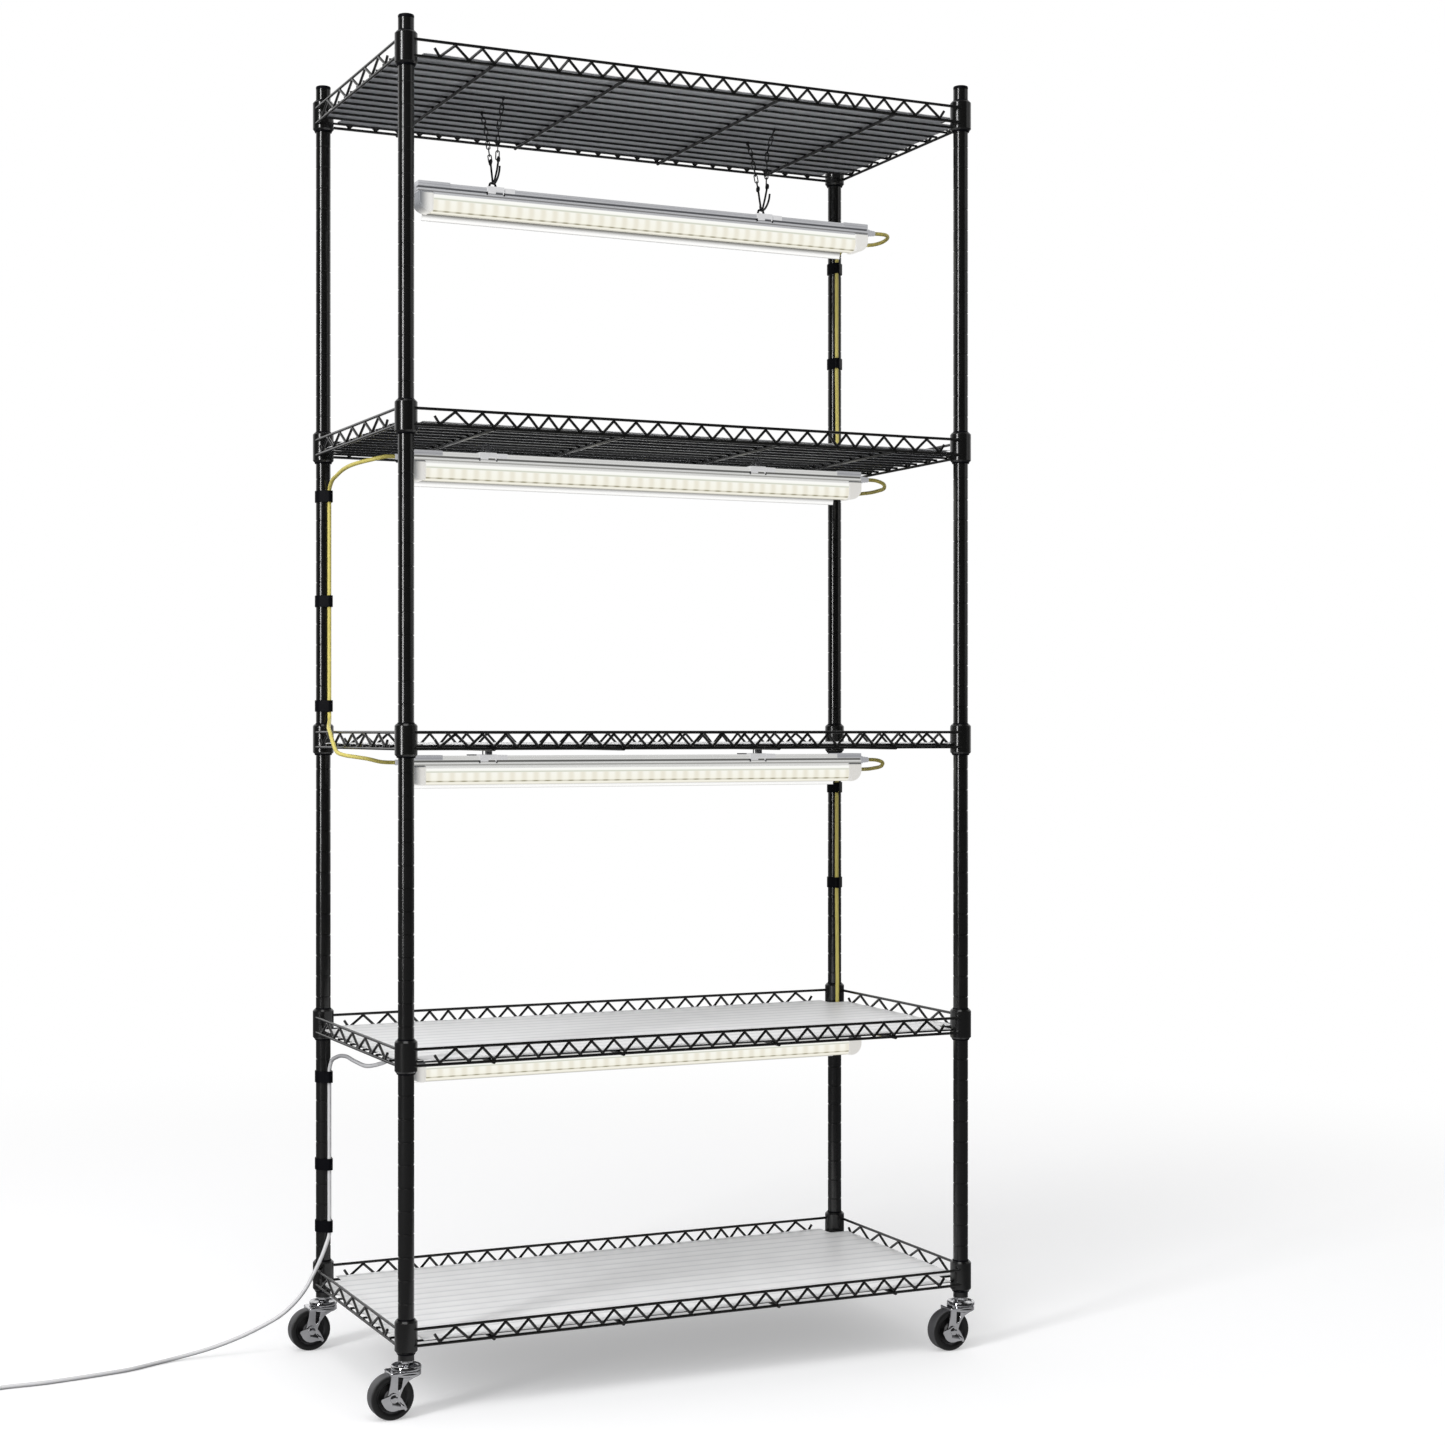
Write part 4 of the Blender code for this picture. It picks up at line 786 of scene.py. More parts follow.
@dataclass
class Layout:
    """Places that the frame gives."""

    post_spacing_x: float = 0.714
    post_spacing_y: float = 0.320
    liner_thickness: float = 0.001
    liner_above_rail: float = 0.0053
    lamp_tops: dict[str, float] = field(default_factory=lambda: {
        "lamp_1": 1.403, "lamp_2": 1.0865, "lamp_3": 0.7278, "lamp_4": 0.379})
    lamp_shift: dict[str, float] = field(default_factory=lambda: {
        "lamp_1": 0.0095, "lamp_2": 0.0, "lamp_3": 0.0, "lamp_4": 0.0})

    def centre(self) -> Vector:
        """Return the middle of the four posts on the floor."""
        low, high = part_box("post_cap_front_left")[0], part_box("post_cap_back_right")[1]
        return Vector(((low.x + high.x) / 2, (low.y + high.y) / 2, 0.0))

    def home(self) -> Matrix:
        """Return the move from the posts' middle to the frame's own place."""
        return move_by(*self.centre())

    def post(self, corner: str) -> Vector:
        """Return a post's place on the floor, from the posts' middle."""
        side_x, side_y = CORNERS[corner]
        return Vector((side_x * self.post_spacing_x / 2, side_y * self.post_spacing_y / 2, 0.0))

    def rail(self, level: str) -> float:
        """Return the height of a shelf's lower rails, taken from its liner."""
        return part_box(f"liner_{level}")[1].z - self.liner_above_rail


# Posts and shelves
@dataclass
class Posts:
    """Grooved tubes with their caps and split sleeves."""

    diameter: float = 0.018
    low_end: float = 0.0635
    top_end: float = 1.5438
    groove_pitch: float = 0.0254
    first_groove: float = 0.0756
    groove_depth: float = 0.0005
    groove_width: float = 0.0018
    cap_rise: float = 0.0042
    cap_plug: float = 0.012
    wall: float = 0.0012
    sleeve_top: float = 0.0194
    sleeve_foot: float = 0.0212
    sleeve_lip: float = 0.0018
    collar_height: float = 0.036
    rail_above_collar: float = 0.0082
    sides: int = 36

    def build(self, shop: Workshop, layout: Layout) -> None:
        """Make the four posts with all that is on them."""
        tube, cap, sleeve = self.tube(), self.cap(), self.sleeve()
        for corner in CORNERS:
            place = layout.home() @ move_by(*layout.post(corner))
            shop.place(copied(tube, place), f"grooved_post_{corner}", POWDER_COAT,
                       f"post_{corner}")
            shop.place(copied(cap, place), f"domed_cap_{corner}", BLACK_NYLON,
                       f"post_cap_{corner}")
            sleeves = [copied(sleeve, place @ move_by(
                0, 0, layout.rail(level) - self.rail_above_collar)) for level in LEVELS]
            shop.place(merged(sleeves), f"split_sleeves_{corner}", BLACK_NYLON)
        discard(tube, cap, sleeve)

    def tube(self) -> Item:
        """Return a post's tube with a groove at every inch."""
        radius = self.diameter / 2
        slope = self.groove_width / 4
        profile = [(radius, self.low_end)]
        middle = self.first_groove
        while middle < self.top_end - self.groove_pitch / 2:
            profile += [(radius, middle - slope * 2), (radius - self.groove_depth, middle - slope),
                        (radius - self.groove_depth, middle + slope), (radius, middle + slope * 2)]
            middle += self.groove_pitch
        return turned(profile + [(radius, self.top_end)], self.sides)

    def cap(self) -> Item:
        """Return the plastic cap that plugs a post's top."""
        radius = self.diameter / 2
        inner = radius - self.wall - 0.0003
        top = self.top_end + self.cap_rise
        edge = 0.0012
        return turned([
            (inner, self.top_end - self.cap_plug), (inner, self.top_end + 0.0002),
            (radius, self.top_end + 0.0002), (radius + 0.0001, top - edge),
            (radius - edge * 0.3, top - edge * 0.3), (radius - edge, top),
            (radius * 0.5, top)], self.sides)

    def sleeve(self) -> Item:
        """Return the split plastic sleeve wedged in a collar, its lips showing at both ends."""
        top, foot = self.sleeve_top / 2, self.sleeve_foot / 2
        bore = self.diameter / 2 + 0.00005
        body = turned([
            (bore, -self.sleeve_lip), (foot - 0.0004, -self.sleeve_lip), (foot, -0.0008),
            (foot, 0.0), (top, self.collar_height), (top, self.collar_height + 0.0010),
            (top - 0.0004, self.collar_height + 0.0014), (bore, self.collar_height + 0.0014)],
            self.sides, hollow=True)
        split = block((-0.02, -0.0004, -0.01), (0.02, 0.0004, self.collar_height + 0.01))
        return cut_by(body, split)


@dataclass
class CableClips:
    """Rubber bands with an eye that hold the cables to the back posts."""

    height: float = 0.014
    band_outer: float = 0.0103
    band_inner: float = 0.0090
    eye_radius: float = 0.0042
    eye_offset: float = 0.0118
    eye_bore: float = 0.0026
    angles: dict[str, float] = field(default_factory=lambda: {
        "back_left": -67.5, "back_right": -104.9})
    heights: dict[str, tuple[float, ...]] = field(default_factory=lambda: {
        "back_left": (1.0444, 0.9161, 0.7878, 0.3335, 0.2267, 0.1506),
        "back_right": (1.380, 1.252, 0.681, 0.553)})

    def build(self, shop: Workshop, layout: Layout) -> None:
        """Make the clips on both back posts."""
        clip = self.clip()
        for corner, heights in self.heights.items():
            turn = turn_by(self.angles[corner])
            clips = [copied(clip, layout.home() @ move_by(
                *(layout.post(corner) + Vector((0, 0, height)))) @ turn) for height in heights]
            shop.place(merged(clips), f"cable_clips_{corner}", BLACK_NYLON)
        discard(clip)

    def clip(self) -> Item:
        """Return one clip: a band round the post that runs on round the cable."""
        half = self.height / 2
        reach = self.eye_offset
        meet = math.degrees(math.acos((self.band_outer - self.eye_radius) / reach))
        outline = arc(self.band_outer, (0, 0), meet, 360 - meet, 26)
        outline += arc(self.eye_radius, (reach, 0), -meet, meet, 12)
        body = plate(outline, -half, half)
        for radius, place, sides in ((self.band_inner, 0.0, 36), (self.eye_bore, reach, 16)):
            tool = turned([(radius, -half * 2), (radius, half * 2)], sides)
            cut_by(body, moved(tool, move_by(place, 0, 0)))
        return softened(body, 0.0005)


@dataclass
class Shelves:
    """Wire shelves: collars, rails, zigzag trusses and deck wires."""

    collar_diameter: float = 0.0255
    collar_height: float = 0.036
    collar_chamfer: float = 0.0022
    collar_bore: float = 0.0206
    collar_foot: float = 0.0082
    rail_spacing: float = 0.0182
    rail_diameter: float = 0.0034
    rail_offset: float = 0.010
    rail_end: float = 0.0035
    truss_wire: float = 0.0033
    truss_reach: float = 0.0018
    bend: float = 0.0024
    front_waves: tuple[float, ...] = (0.0278,) * 6 + (0.0245,) * 2 + (0.0275,) * 2 + (0.032,)
    front_last_foot: float = 0.0185
    front_free_end: Pair = (0.0060, 0.0090)
    side_first_peak: float = 0.1068
    side_wave: float = 0.0499
    side_peaks: int = 5
    side_free_end: Pair = (0.0070, 0.0075)
    deck_wire: float = 0.0028
    deck_pitch: float = 0.0245
    deck_wires: int = 14
    deck_lift: float = 0.0026
    cross_wire: float = 0.0042
    cross_at: tuple[float, ...] = (-0.258, -0.100, 0.100, 0.258)
    cross_end: float = 0.1728

    def build(self, shop: Workshop, layout: Layout) -> None:
        """Make the five shelves."""
        shelf = merged(self.collars(layout) + self.rails(layout) + self.trusses(layout)
                       + self.deck(layout))
        for level in LEVELS:
            place = layout.home() @ move_by(0, 0, layout.rail(level))
            shop.place(copied(shelf, place), f"wire_shelf_{level}", POWDER_COAT, f"shelf_{level}")
        discard(shelf)

    def collars(self, layout: Layout) -> list[Item]:
        """Return the four collars with their chamfered rims."""
        radius, chamfer, height = self.collar_diameter / 2, self.collar_chamfer, self.collar_height
        bore = self.collar_bore / 2 + 0.0004
        collar = turned([
            (bore, 0.0), (radius - chamfer * 0.8, 0.0), (radius, chamfer * 0.9),
            (radius, height - chamfer), (radius - chamfer * 0.8, height), (bore - 0.0008, height)],
            40, hollow=True)
        moved(collar, move_by(0, 0, -self.collar_foot))
        made = [copied(collar, move_by(*layout.post(corner))) for corner in CORNERS]
        discard(collar)
        return made

    def sides(self, layout: Layout) -> Pair:
        """Return how far the rails lie from the middle along X and along Y."""
        return (layout.post_spacing_x / 2 + self.rail_offset,
                layout.post_spacing_y / 2 + self.rail_offset)

    def rails(self, layout: Layout) -> list[Item]:
        """Return the eight rails."""
        side_x, side_y = self.sides(layout)
        end_x = layout.post_spacing_x / 2 - self.rail_end
        end_y = layout.post_spacing_y / 2 - self.rail_end
        made = []
        for sign in (-1, 1):
            for height in (0.0, self.rail_spacing):
                made.append(solid_wire([(-end_x, sign * side_y, height),
                                        (end_x, sign * side_y, height)], self.rail_diameter))
                made.append(solid_wire([(sign * side_x, -end_y, height),
                                        (sign * side_x, end_y, height)], self.rail_diameter))
        return made

    def front_line(self) -> Profile:
        """Return the x and height of the front truss's corners, its free ends turned up."""
        low, high = self.truss_reach, self.rail_spacing - self.truss_reach
        peaks = [0.0]
        for pitch in self.front_waves:
            peaks.append(peaks[-1] + pitch)
        peaks = [-peak for peak in reversed(peaks[1:])] + peaks
        out, up = self.front_free_end
        foot = peaks[-1] + self.front_last_foot
        line = [(-foot - out, low + up), (-foot, low)]
        for left, right in zip(peaks, peaks[1:]):
            line += [(left, high), ((left + right) / 2, low)]
        return line + [(peaks[-1], high), (foot, low), (foot + out, low + up)]

    def side_line(self) -> Profile:
        """Return the y and height of a side truss's corners."""
        low, high = self.truss_reach, self.rail_spacing - self.truss_reach
        start = self.side_first_peak + self.side_wave / 2
        out, up = self.side_free_end
        line = [(start + out, low + up)]
        for index in range(2 * self.side_peaks + 1):
            line.append((start - index * self.side_wave / 2, low if index % 2 == 0 else high))
        last = line[-1][0]
        return line + [(last - out, low + up)]

    def trusses(self, layout: Layout) -> list[Item]:
        """Return the zigzag wires on the four sides."""
        side_x, side_y = self.sides(layout)
        made = []
        for sign in (-1, 1):
            front = [(x, sign * side_y, z) for x, z in self.front_line()]
            side = [(sign * side_x, y, z) for y, z in self.side_line()]
            made += [solid_wire(rounded(front, self.bend), self.truss_wire, 2),
                     solid_wire(rounded(side, self.bend), self.truss_wire, 2)]
        return made

    def deck(self, layout: Layout) -> list[Item]:
        """Return the wires of the deck, the outermost ones ending on the collars."""
        side_x, side_y = self.sides(layout)
        made = []
        for index in range(self.deck_wires):
            place = (index - (self.deck_wires - 1) / 2) * self.deck_pitch
            on_collar = abs(place) > layout.post_spacing_y / 2 - self.collar_diameter / 2
            end = layout.post_spacing_x / 2 - self.collar_diameter / 2 if on_collar else (
                side_x + 0.0012)
            made.append(solid_wire([(-end, place, self.deck_lift), (end, place, self.deck_lift)],
                                   self.deck_wire, 2))
        under = self.deck_lift - (self.deck_wire + self.cross_wire) / 2 + 0.0002
        for place in self.cross_at:
            made.append(solid_wire([(place, -self.cross_end, under),
                                    (place, self.cross_end, under)], self.cross_wire, 3))
        return made


@dataclass
class Liners:
    """Thin white sheets that lie on the decks and dip a little between their wires."""

    half_x: float = 0.3645
    half_y: float = 0.1675
    notch_x: float = 0.026
    notch_y: float = 0.030
    notch_corner: float = 0.004
    dip: float = 0.00035
    pitch: float = 0.0245
    rows: int = 112
    columns: int = 24

    def build(self, shop: Workshop, layout: Layout) -> None:
        """Lay a liner on each shelf."""
        liner = self.sheet(layout)
        for level in LEVELS:
            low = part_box(f"liner_{level}")[0].z
            place = layout.home() @ move_by(0, 0, low)
            shop.place(copied(liner, place), f"shelf_liner_{level}", LINER_SHEET, f"liner_{level}")
        discard(liner)

    def sheet(self, layout: Layout) -> Item:
        """Return the sheet: a fine grid with its corners cut away, dipped and thickened."""
        deselect()
        bpy.ops.mesh.primitive_grid_add(x_subdivisions=self.columns, y_subdivisions=self.rows,
                                        size=2.0)
        item = bpy.context.object
        item.scale = (self.half_x, self.half_y, 1.0)
        bpy.ops.object.transform_apply(location=True, rotation=True, scale=True)
        for vertex in item.data.vertices:
            beat = math.cos(2 * math.pi * (vertex.co.y / self.pitch + 0.5))
            vertex.co.z = (beat - 1) / 2 * self.dip + self.dip
        pick([item])
        solid = item.modifiers.new("wall", "SOLIDIFY")
        solid.thickness = layout.liner_thickness - self.dip
        solid.offset = 1.0
        bpy.ops.object.modifier_apply(modifier="wall")
        for side_x, side_y in CORNERS.values():
            inner = (side_x * (self.half_x - self.notch_x), side_y * (self.half_y - self.notch_y))
            outer = (side_x * (self.half_x + 0.01), side_y * (self.half_y + 0.01))
            low = (min(inner[0], outer[0]), min(inner[1], outer[1]), -0.01)
            high = (max(inner[0], outer[0]), max(inner[1], outer[1]), 0.01)
            cut_by(item, block(low, high, self.notch_corner))
        pick([item])
        bpy.ops.object.shade_smooth_by_angle(angle=SMOOTH_ANGLE)
        return item


# Casters: modelled round the pivot, X the way the wheel trails and Y along the axle
@dataclass
class Casters:
    """Four swivel casters with a ball cup, a pressed fork, a rubber wheel and a brake plate."""

    yaw: float = 180.0
    trail: float = 0.018
    wheel_radius: float = 0.025
    wheel_width: float = 0.018
    axle_radius: float = 0.003
    post_foot: float = 0.0635
    cup_foot: float = 0.0528
    cup_top: float = 0.0584
    cup_radius: float = 0.0168
    nut_radius: float = 0.0076
    crown_top: float = 0.0525
    crown_depth: float = 0.0036
    crown_back: float = 0.0215
    crown_half: float = 0.0136
    cheek_inner: float = 0.0098
    cheek_outer: float = 0.0118
    brake_inner: float = 0.0122
    brake_outer: float = 0.0138
    brake_radius: float = 0.0134
    # Outlines of x and height: the cheek's window, and the brake plate round the axle.
    window: tuple[Pair, ...] = ((0.0066, 0.0485), (0.0126, 0.0485), (0.0132, 0.0345),
                                (0.0118, 0.0330), (0.0090, 0.0370))
    brake_start: tuple[Pair, ...] = ((0.0146, 0.0012), (0.0150, -0.0010))
    brake_tail: tuple[Pair, ...] = ((-0.0136, -0.0122), (-0.0142, -0.0100),
                                    (-0.0088, -0.0004), (-0.0060, 0.0026))
    # The wheel's side from hub to web, as radius and half width, and its tyre's round shoulder.
    hub_side: tuple[Pair, ...] = ((0.0033, 0.0088), (0.0072, 0.0088), (0.0082, 0.0078),
                                  (0.0090, 0.0052), (0.0160, 0.0052), (0.0172, 0.0078),
                                  (0.0180, 0.0086))
    shoulder: float = 0.0030
    thread_radius: float = 0.0052
    thread_depth: float = 0.0004
    thread_step: float = 0.0006
    edge_round: float = 0.0030

    def build(self, shop: Workshop, layout: Layout) -> None:
        """Make the four casters."""
        stem, fork, wheel, brake = self.stem(), self.fork(), self.wheel(), self.brake()
        bolt = self.axle_bolt()
        for corner in CORNERS:
            place = layout.home() @ move_by(*layout.post(corner)) @ turn_by(self.yaw)
            shop.place(copied(stem, place), f"caster_cup_{corner}", CHROME_PLATE,
                       f"caster_stem_{corner}")
            shop.place(copied(fork, place), f"pressed_fork_{corner}", CHROME_PLATE,
                       f"caster_fork_{corner}", f"fork_{corner}")
            shop.place(copied(bolt, place), f"axle_bolt_{corner}", CHROME_PLATE,
                       body=f"fork_{corner}")
            shop.place(copied(wheel, place), f"rubber_wheel_{corner}", TYRE_RUBBER,
                       f"caster_wheel_{corner}", f"wheel_{corner}")
            shop.place(copied(brake, place), f"brake_plate_{corner}", CHROME_PLATE,
                       f"caster_brake_{corner}", f"brake_{corner}")
        discard(stem, fork, wheel, brake, bolt)

    def stem(self) -> Item:
        """Return the washer, nut and dished cup under a post."""
        rim, top, foot = self.cup_radius, self.cup_top, self.cup_foot
        neck = self.thread_radius
        cup = turned([
            (neck, foot - 0.0020), (neck, foot), (rim - 0.0012, foot), (rim, foot + 0.0012),
            (rim, top - 0.0011), (rim - 0.0006, top - 0.0003), (rim - 0.0016, top),
            (rim - 0.0026, top - 0.0006), (rim - 0.0036, top - 0.0021),
            (self.nut_radius + 0.0016, top - 0.0024), (self.nut_radius + 0.0006, top - 0.0010),
            (self.nut_radius - 0.0012, top - 0.0004)], 40)
        nut = softened(turned([(self.nut_radius, top - 0.0010),
                               (self.nut_radius, self.post_foot - 0.0009)], 6), 0.0004)
        washer = turned([(0.0090, self.post_foot - 0.0009), (0.0092, self.post_foot - 0.0006),
                         (0.0092, self.post_foot - 0.0002)], 36)
        thread = [(neck + self.thread_depth * (step % 2),
                   self.post_foot - 0.0002 + step * self.thread_step) for step in range(12)]
        return merged([cup, nut, washer, turned(thread, 24)])

    def cheek_outline(self) -> Profile:
        """Return a cheek's outline of x and height: wide at the crown, narrow at the axle."""
        tip = arc(0.0070, (self.trail, self.wheel_radius), -15, -165, 9)
        low_crown = self.crown_top - 0.0022
        return [(-0.0090, low_crown), (0.0212, low_crown), (0.0222, 0.0400),
                (0.0246, 0.0290)] + tip + [(0.0096, 0.0290), (0.0064, 0.0360), (0.0015, 0.0420),
                                           (-0.0050, 0.0450), (-0.0088, 0.0470)]

    def fork(self) -> Item:
        """Return the fork: a crown with rounded front, two cheeks with a long window."""
        top, foot = self.crown_top, self.crown_top - self.crown_depth
        half, back = self.crown_half, self.crown_back
        outline = arc(0.0166, (0.0, 0.0), 125, 235, 15)
        edge = self.edge_round
        outline += arc(edge, (back - edge, -half + edge), -90, 0, 4)
        outline += arc(edge, (back - edge, half - edge), 0, 90, 4)
        crown = softened(plate(outline, foot, top), 0.0007)
        crown = cut_by(crown, turned([(0.0036, foot - 0.002), (0.0036, top + 0.002)], 24))
        race = turned([(0.0150, foot - 0.0022), (0.0166, foot - 0.0010), (0.0166, foot + 0.0010),
                       (0.0150, foot + 0.0012)], 36)
        race = cut_by(race, turned([(0.0125, foot - 0.01), (0.0125, foot + 0.01)], 36))
        cheeks = []
        for sign in (-1, 1):
            cheek = plate(self.cheek_outline(), self.cheek_inner, self.cheek_outer)
            window = plate(self.window, self.cheek_inner - 0.004, self.cheek_outer + 0.004)
            cheek = softened(cut_by(cheek, window), 0.0005)
            turn = Matrix(((1, 0, 0, 0), (0, 0, sign, 0), (0, 1, 0, 0), (0, 0, 0, 1)))
            cheeks.append(moved(cheek, turn))
        return merged([crown, race] + cheeks)

    def axle_bolt(self) -> Item:
        """Return the axle with a domed head on one end and a nut on the other."""
        end = self.cheek_outer
        thick = self.axle_radius - 0.0001
        pin = turned([(thick, -end - 0.0004), (thick, end + 0.0020)], 24)
        head = turned([(0.0048, -end - 0.0002), (0.0050, -end - 0.0012), (0.0042, -end - 0.0022),
                       (0.0022, -end - 0.0027)], 28)
        cap = turned([(0.0029, end + 0.0018), (0.0044, end + 0.0019), (0.0044, end + 0.0026),
                      (0.0034, end + 0.0034), (0.0016, end + 0.0037)], 28)
        bolt = merged([pin, head, cap])
        place = move_by(self.trail, 0, self.wheel_radius)
        return moved(bolt, place @ UPRIGHT @ turn_by(180, "X"))

    def wheel(self) -> Item:
        """Return the wheel: hub, dished web and a tyre with round shoulders."""
        wide, half = self.wheel_radius, self.wheel_width / 2
        side = [*self.hub_side, (0.0212, half)]
        side += [(wide - self.shoulder + self.shoulder * math.sin(math.radians(turn)),
                  half - self.shoulder + self.shoulder * math.cos(math.radians(turn)))
                 for turn in (15, 35, 55, 75, 90)]
        profile = [(radius, -place) for radius, place in side]
        profile += [(radius, place) for radius, place in reversed(side)]
        body = turned(profile, 56, hollow=True)
        place = move_by(self.trail, 0, self.wheel_radius)
        return moved(body, place @ UPRIGHT)

    def brake(self) -> Item:
        """Return the brake plate: a half disc under the axle, with a slit and a raised tab."""
        centre = (self.trail, self.wheel_radius)
        outline = [(centre[0] + x, centre[1] + z) for x, z in self.brake_start]
        outline += arc(self.brake_radius, (centre[0] + 0.0004, centre[1]), -22, -112, 14)
        outline += [(centre[0] + x, centre[1] + z) for x, z in self.brake_tail]
        outline += arc(0.0062, centre, 150, 40, 7)
        body = plate(outline, self.brake_inner, self.brake_outer)
        hole = turned([(self.axle_radius + 0.0002, 0.0), (self.axle_radius + 0.0002, 0.03)], 24)
        body = cut_by(body, moved(hole, move_by(*centre, 0.0)))
        slit = block((-0.0036, -0.0005, 0.0), (0.0036, 0.0005, 0.03))
        turn = turn_by(48)
        slit = moved(slit, move_by(centre[0] - 0.0088, centre[1] - 0.0066, 0.0) @ turn)
        body = softened(cut_by(body, slit), 0.0004)
        tab = block((-0.0040, -0.0016, self.brake_inner),
                    (0.0040, 0.0016, self.brake_outer + 0.0003), 0.0004)
        tab = moved(tab, move_by(centre[0] - 0.0114, centre[1] - 0.0102, 0.0) @ turn)
        upright = Matrix(((1, 0, 0, 0), (0, 0, 1, 0), (0, 1, 0, 0), (0, 0, 0, 1)))
        return moved(merged([body, tab]), upright)


# Grow lights: modelled round the middle of the top face, X along the light
@dataclass
class GrowLights:
    """Four tube lights: a grooved bar, a reflector, a lit cover, end pieces and their clips."""

    length: float = 0.604
    height: float = 0.0345
    cap_length: float = 0.019
    cap_half: float = 0.0129
    cap_round: float = 0.0145
    cap_top: float = 0.0112
    bar_half: float = 0.0105
    bar_depth: float = 0.0142
    groove_top: float = 0.0053
    groove_foot: float = 0.0075
    groove_depth: float = 0.0022
    wing_length: float = 0.558
    wing_more: float = 0.0075
    wing_top: float = 0.009
    wing_reach: float = 0.024
    wing_foot: float = 0.0392
    block_left: float = 0.040
    block_right: float = 0.035
    block_half: float = 0.0115
    relief_axis: float = 0.0075
    saddles: Pair = (-0.205, 0.154)
    saddle_length: float = 0.0215
    saddle_half: float = 0.0122
    cover_half: float = 0.013
    cover_wall: float = 0.0012
    cover_top: float = 0.0145
    cover_corner: float = 0.0088
    deck_wire_y: float = -0.01225
    clip_wire: float = 0.0016
    clip_bend: float = 0.0024
    clip_foot: float = 0.0012
    clip_plate: float = 0.0034
    bracket_wire: float = 0.0028
    bracket_round: float = 0.0016
    spring_shift: float = 0.0044
    spring_radius: float = 0.0042
    spring_height: float = 0.0066
    # The strain relief's rings, as radius and distance from the light's end.
    relief_steps: tuple[Pair, ...] = (
        (0.0046, -0.001), (0.0047, 0.0036), (0.0047, 0.0070), (0.0036, 0.0078),
        (0.0033, 0.0092), (0.0038, 0.0096), (0.0038, 0.0112), (0.0031, 0.0116),
        (0.0031, 0.0128), (0.0034, 0.0132), (0.0033, 0.0150), (0.0027, 0.0156))
    board_edge: dict[str, float] = field(default_factory=lambda: {
        "lamp_1": 0.0340, "lamp_2": 0.0316, "lamp_3": 0.0296, "lamp_4": 0.0284})
    shelf_above: dict[str, str] = field(default_factory=lambda: {
        "lamp_2": "fourth", "lamp_3": "third", "lamp_4": "second"})

    def build(self, shop: Workshop, layout: Layout, frame: dict) -> None:
        """Make the four lights."""
        parts = [(self.charted(self.bar()), "bar", LAMP_EXTRUSION),
                 (self.charted(self.reflector()), "reflector", REFLECTOR),
                 (self.charted(self.end_caps()), "end_caps", LAMP_END),
                 (self.charted(self.end_blocks()), "end_blocks", LAMP_BLOCK),
                 (self.charted(self.saddle_pair()), "saddles", LAMP_CLIP),
                 (self.cover(), "lit_cover", CoverFinish())]
        covers = parts[-1][0]
        for lamp, top in layout.lamp_tops.items():
            body = Body.HIGHEST_LIGHT.value if lamp == "lamp_1" else Body.STAND.value
            place = layout.home() @ move_by(layout.lamp_shift[lamp], 0.0, top)
            self.chart_cover(covers, self.board_edge[lamp])
            hung = lamp == "lamp_1"
            replaced = {"bar": f"{lamp}_housing", "lit_cover": f"{lamp}_cover"}
            for item, name, finish in parts:
                if name == "bar" and not hung:
                    finish = LIT_EXTRUSION
                shop.place(copied(item, place), f"{lamp}_{name}", finish,
                           replaced.get(name, ""), body)
            shop.repaint(frame, f"{lamp}_led_board", WHITE_ABS)
            clips = self.hook_brackets() if hung else self.deck_clips(
                layout.rail(self.shelf_above[lamp]) + Shelves.deck_lift - top)
            shop.place(moved(clips, place), f"{lamp}_clips", DARK_ZINC if hung else BRIGHT_ZINC,
                       body=body)
        discard(*(item for item, *_ in parts))

    def bar(self) -> Item:
        """Return the bar on top of a light, with its long groove."""
        half, neck = self.bar_half, self.bar_half - self.groove_depth
        side = [(half - 0.0008, 0.0), (half, -0.0008), (half, -self.groove_top),
                (neck, -self.groove_top - 0.0002), (neck, -self.groove_foot + 0.0002),
                (half, -self.groove_foot), (half, -self.bar_depth + 0.0008),
                (half - 0.0008, -self.bar_depth)]
        outline = side + [(-y, z) for y, z in reversed(side)]
        return bar_along_x(outline, -self.length / 2 + 0.0002, self.length / 2 - 0.0002)

    def reflector(self) -> Item:
        """Return the reflector sheet behind the tube, its edge folded back on itself."""
        root, shoulder = self.bar_half - 0.0003, self.bar_half + 0.0045
        wall, reach, foot = 0.0008, self.wing_reach, self.wing_foot
        outline = [(root, -self.wing_top), (shoulder, -self.wing_top), (reach, -foot + 0.0004),
                   (reach - 0.0002, -foot), (reach - 0.0016, -foot),
                   (reach - 0.0016, -foot + 0.0026), (reach - 0.0018, -foot + 0.0030),
                   (shoulder - wall, -self.wing_top - wall), (root, -self.wing_top - wall)]
        return bar_along_x(outline, -self.wing_length / 2 - self.wing_more, self.wing_length / 2)

    def end_caps(self) -> Item:
        """Return both end caps, their lower corners rounded off."""
        end, root = self.length / 2, self.length / 2 - self.cap_length
        made = []
        for sign in (-1, 1):
            outline = [(root, -self.cap_top), (end, -self.cap_top),
                       (end, -self.height + self.cap_round)]
            outline += arc(self.cap_round, (end - self.cap_round, -self.height + self.cap_round),
                           -10, -90, 9)
            outline += [(root, -self.height)]
            cap = softened(plate(outline, -self.cap_half, self.cap_half), 0.0022, 4)
            made.append(moved(cap, Matrix(((sign, 0, 0, 0), (0, 0, 1, 0), (0, 1, 0, 0),
                                           (0, 0, 0, 1)))))
        return merged(made)

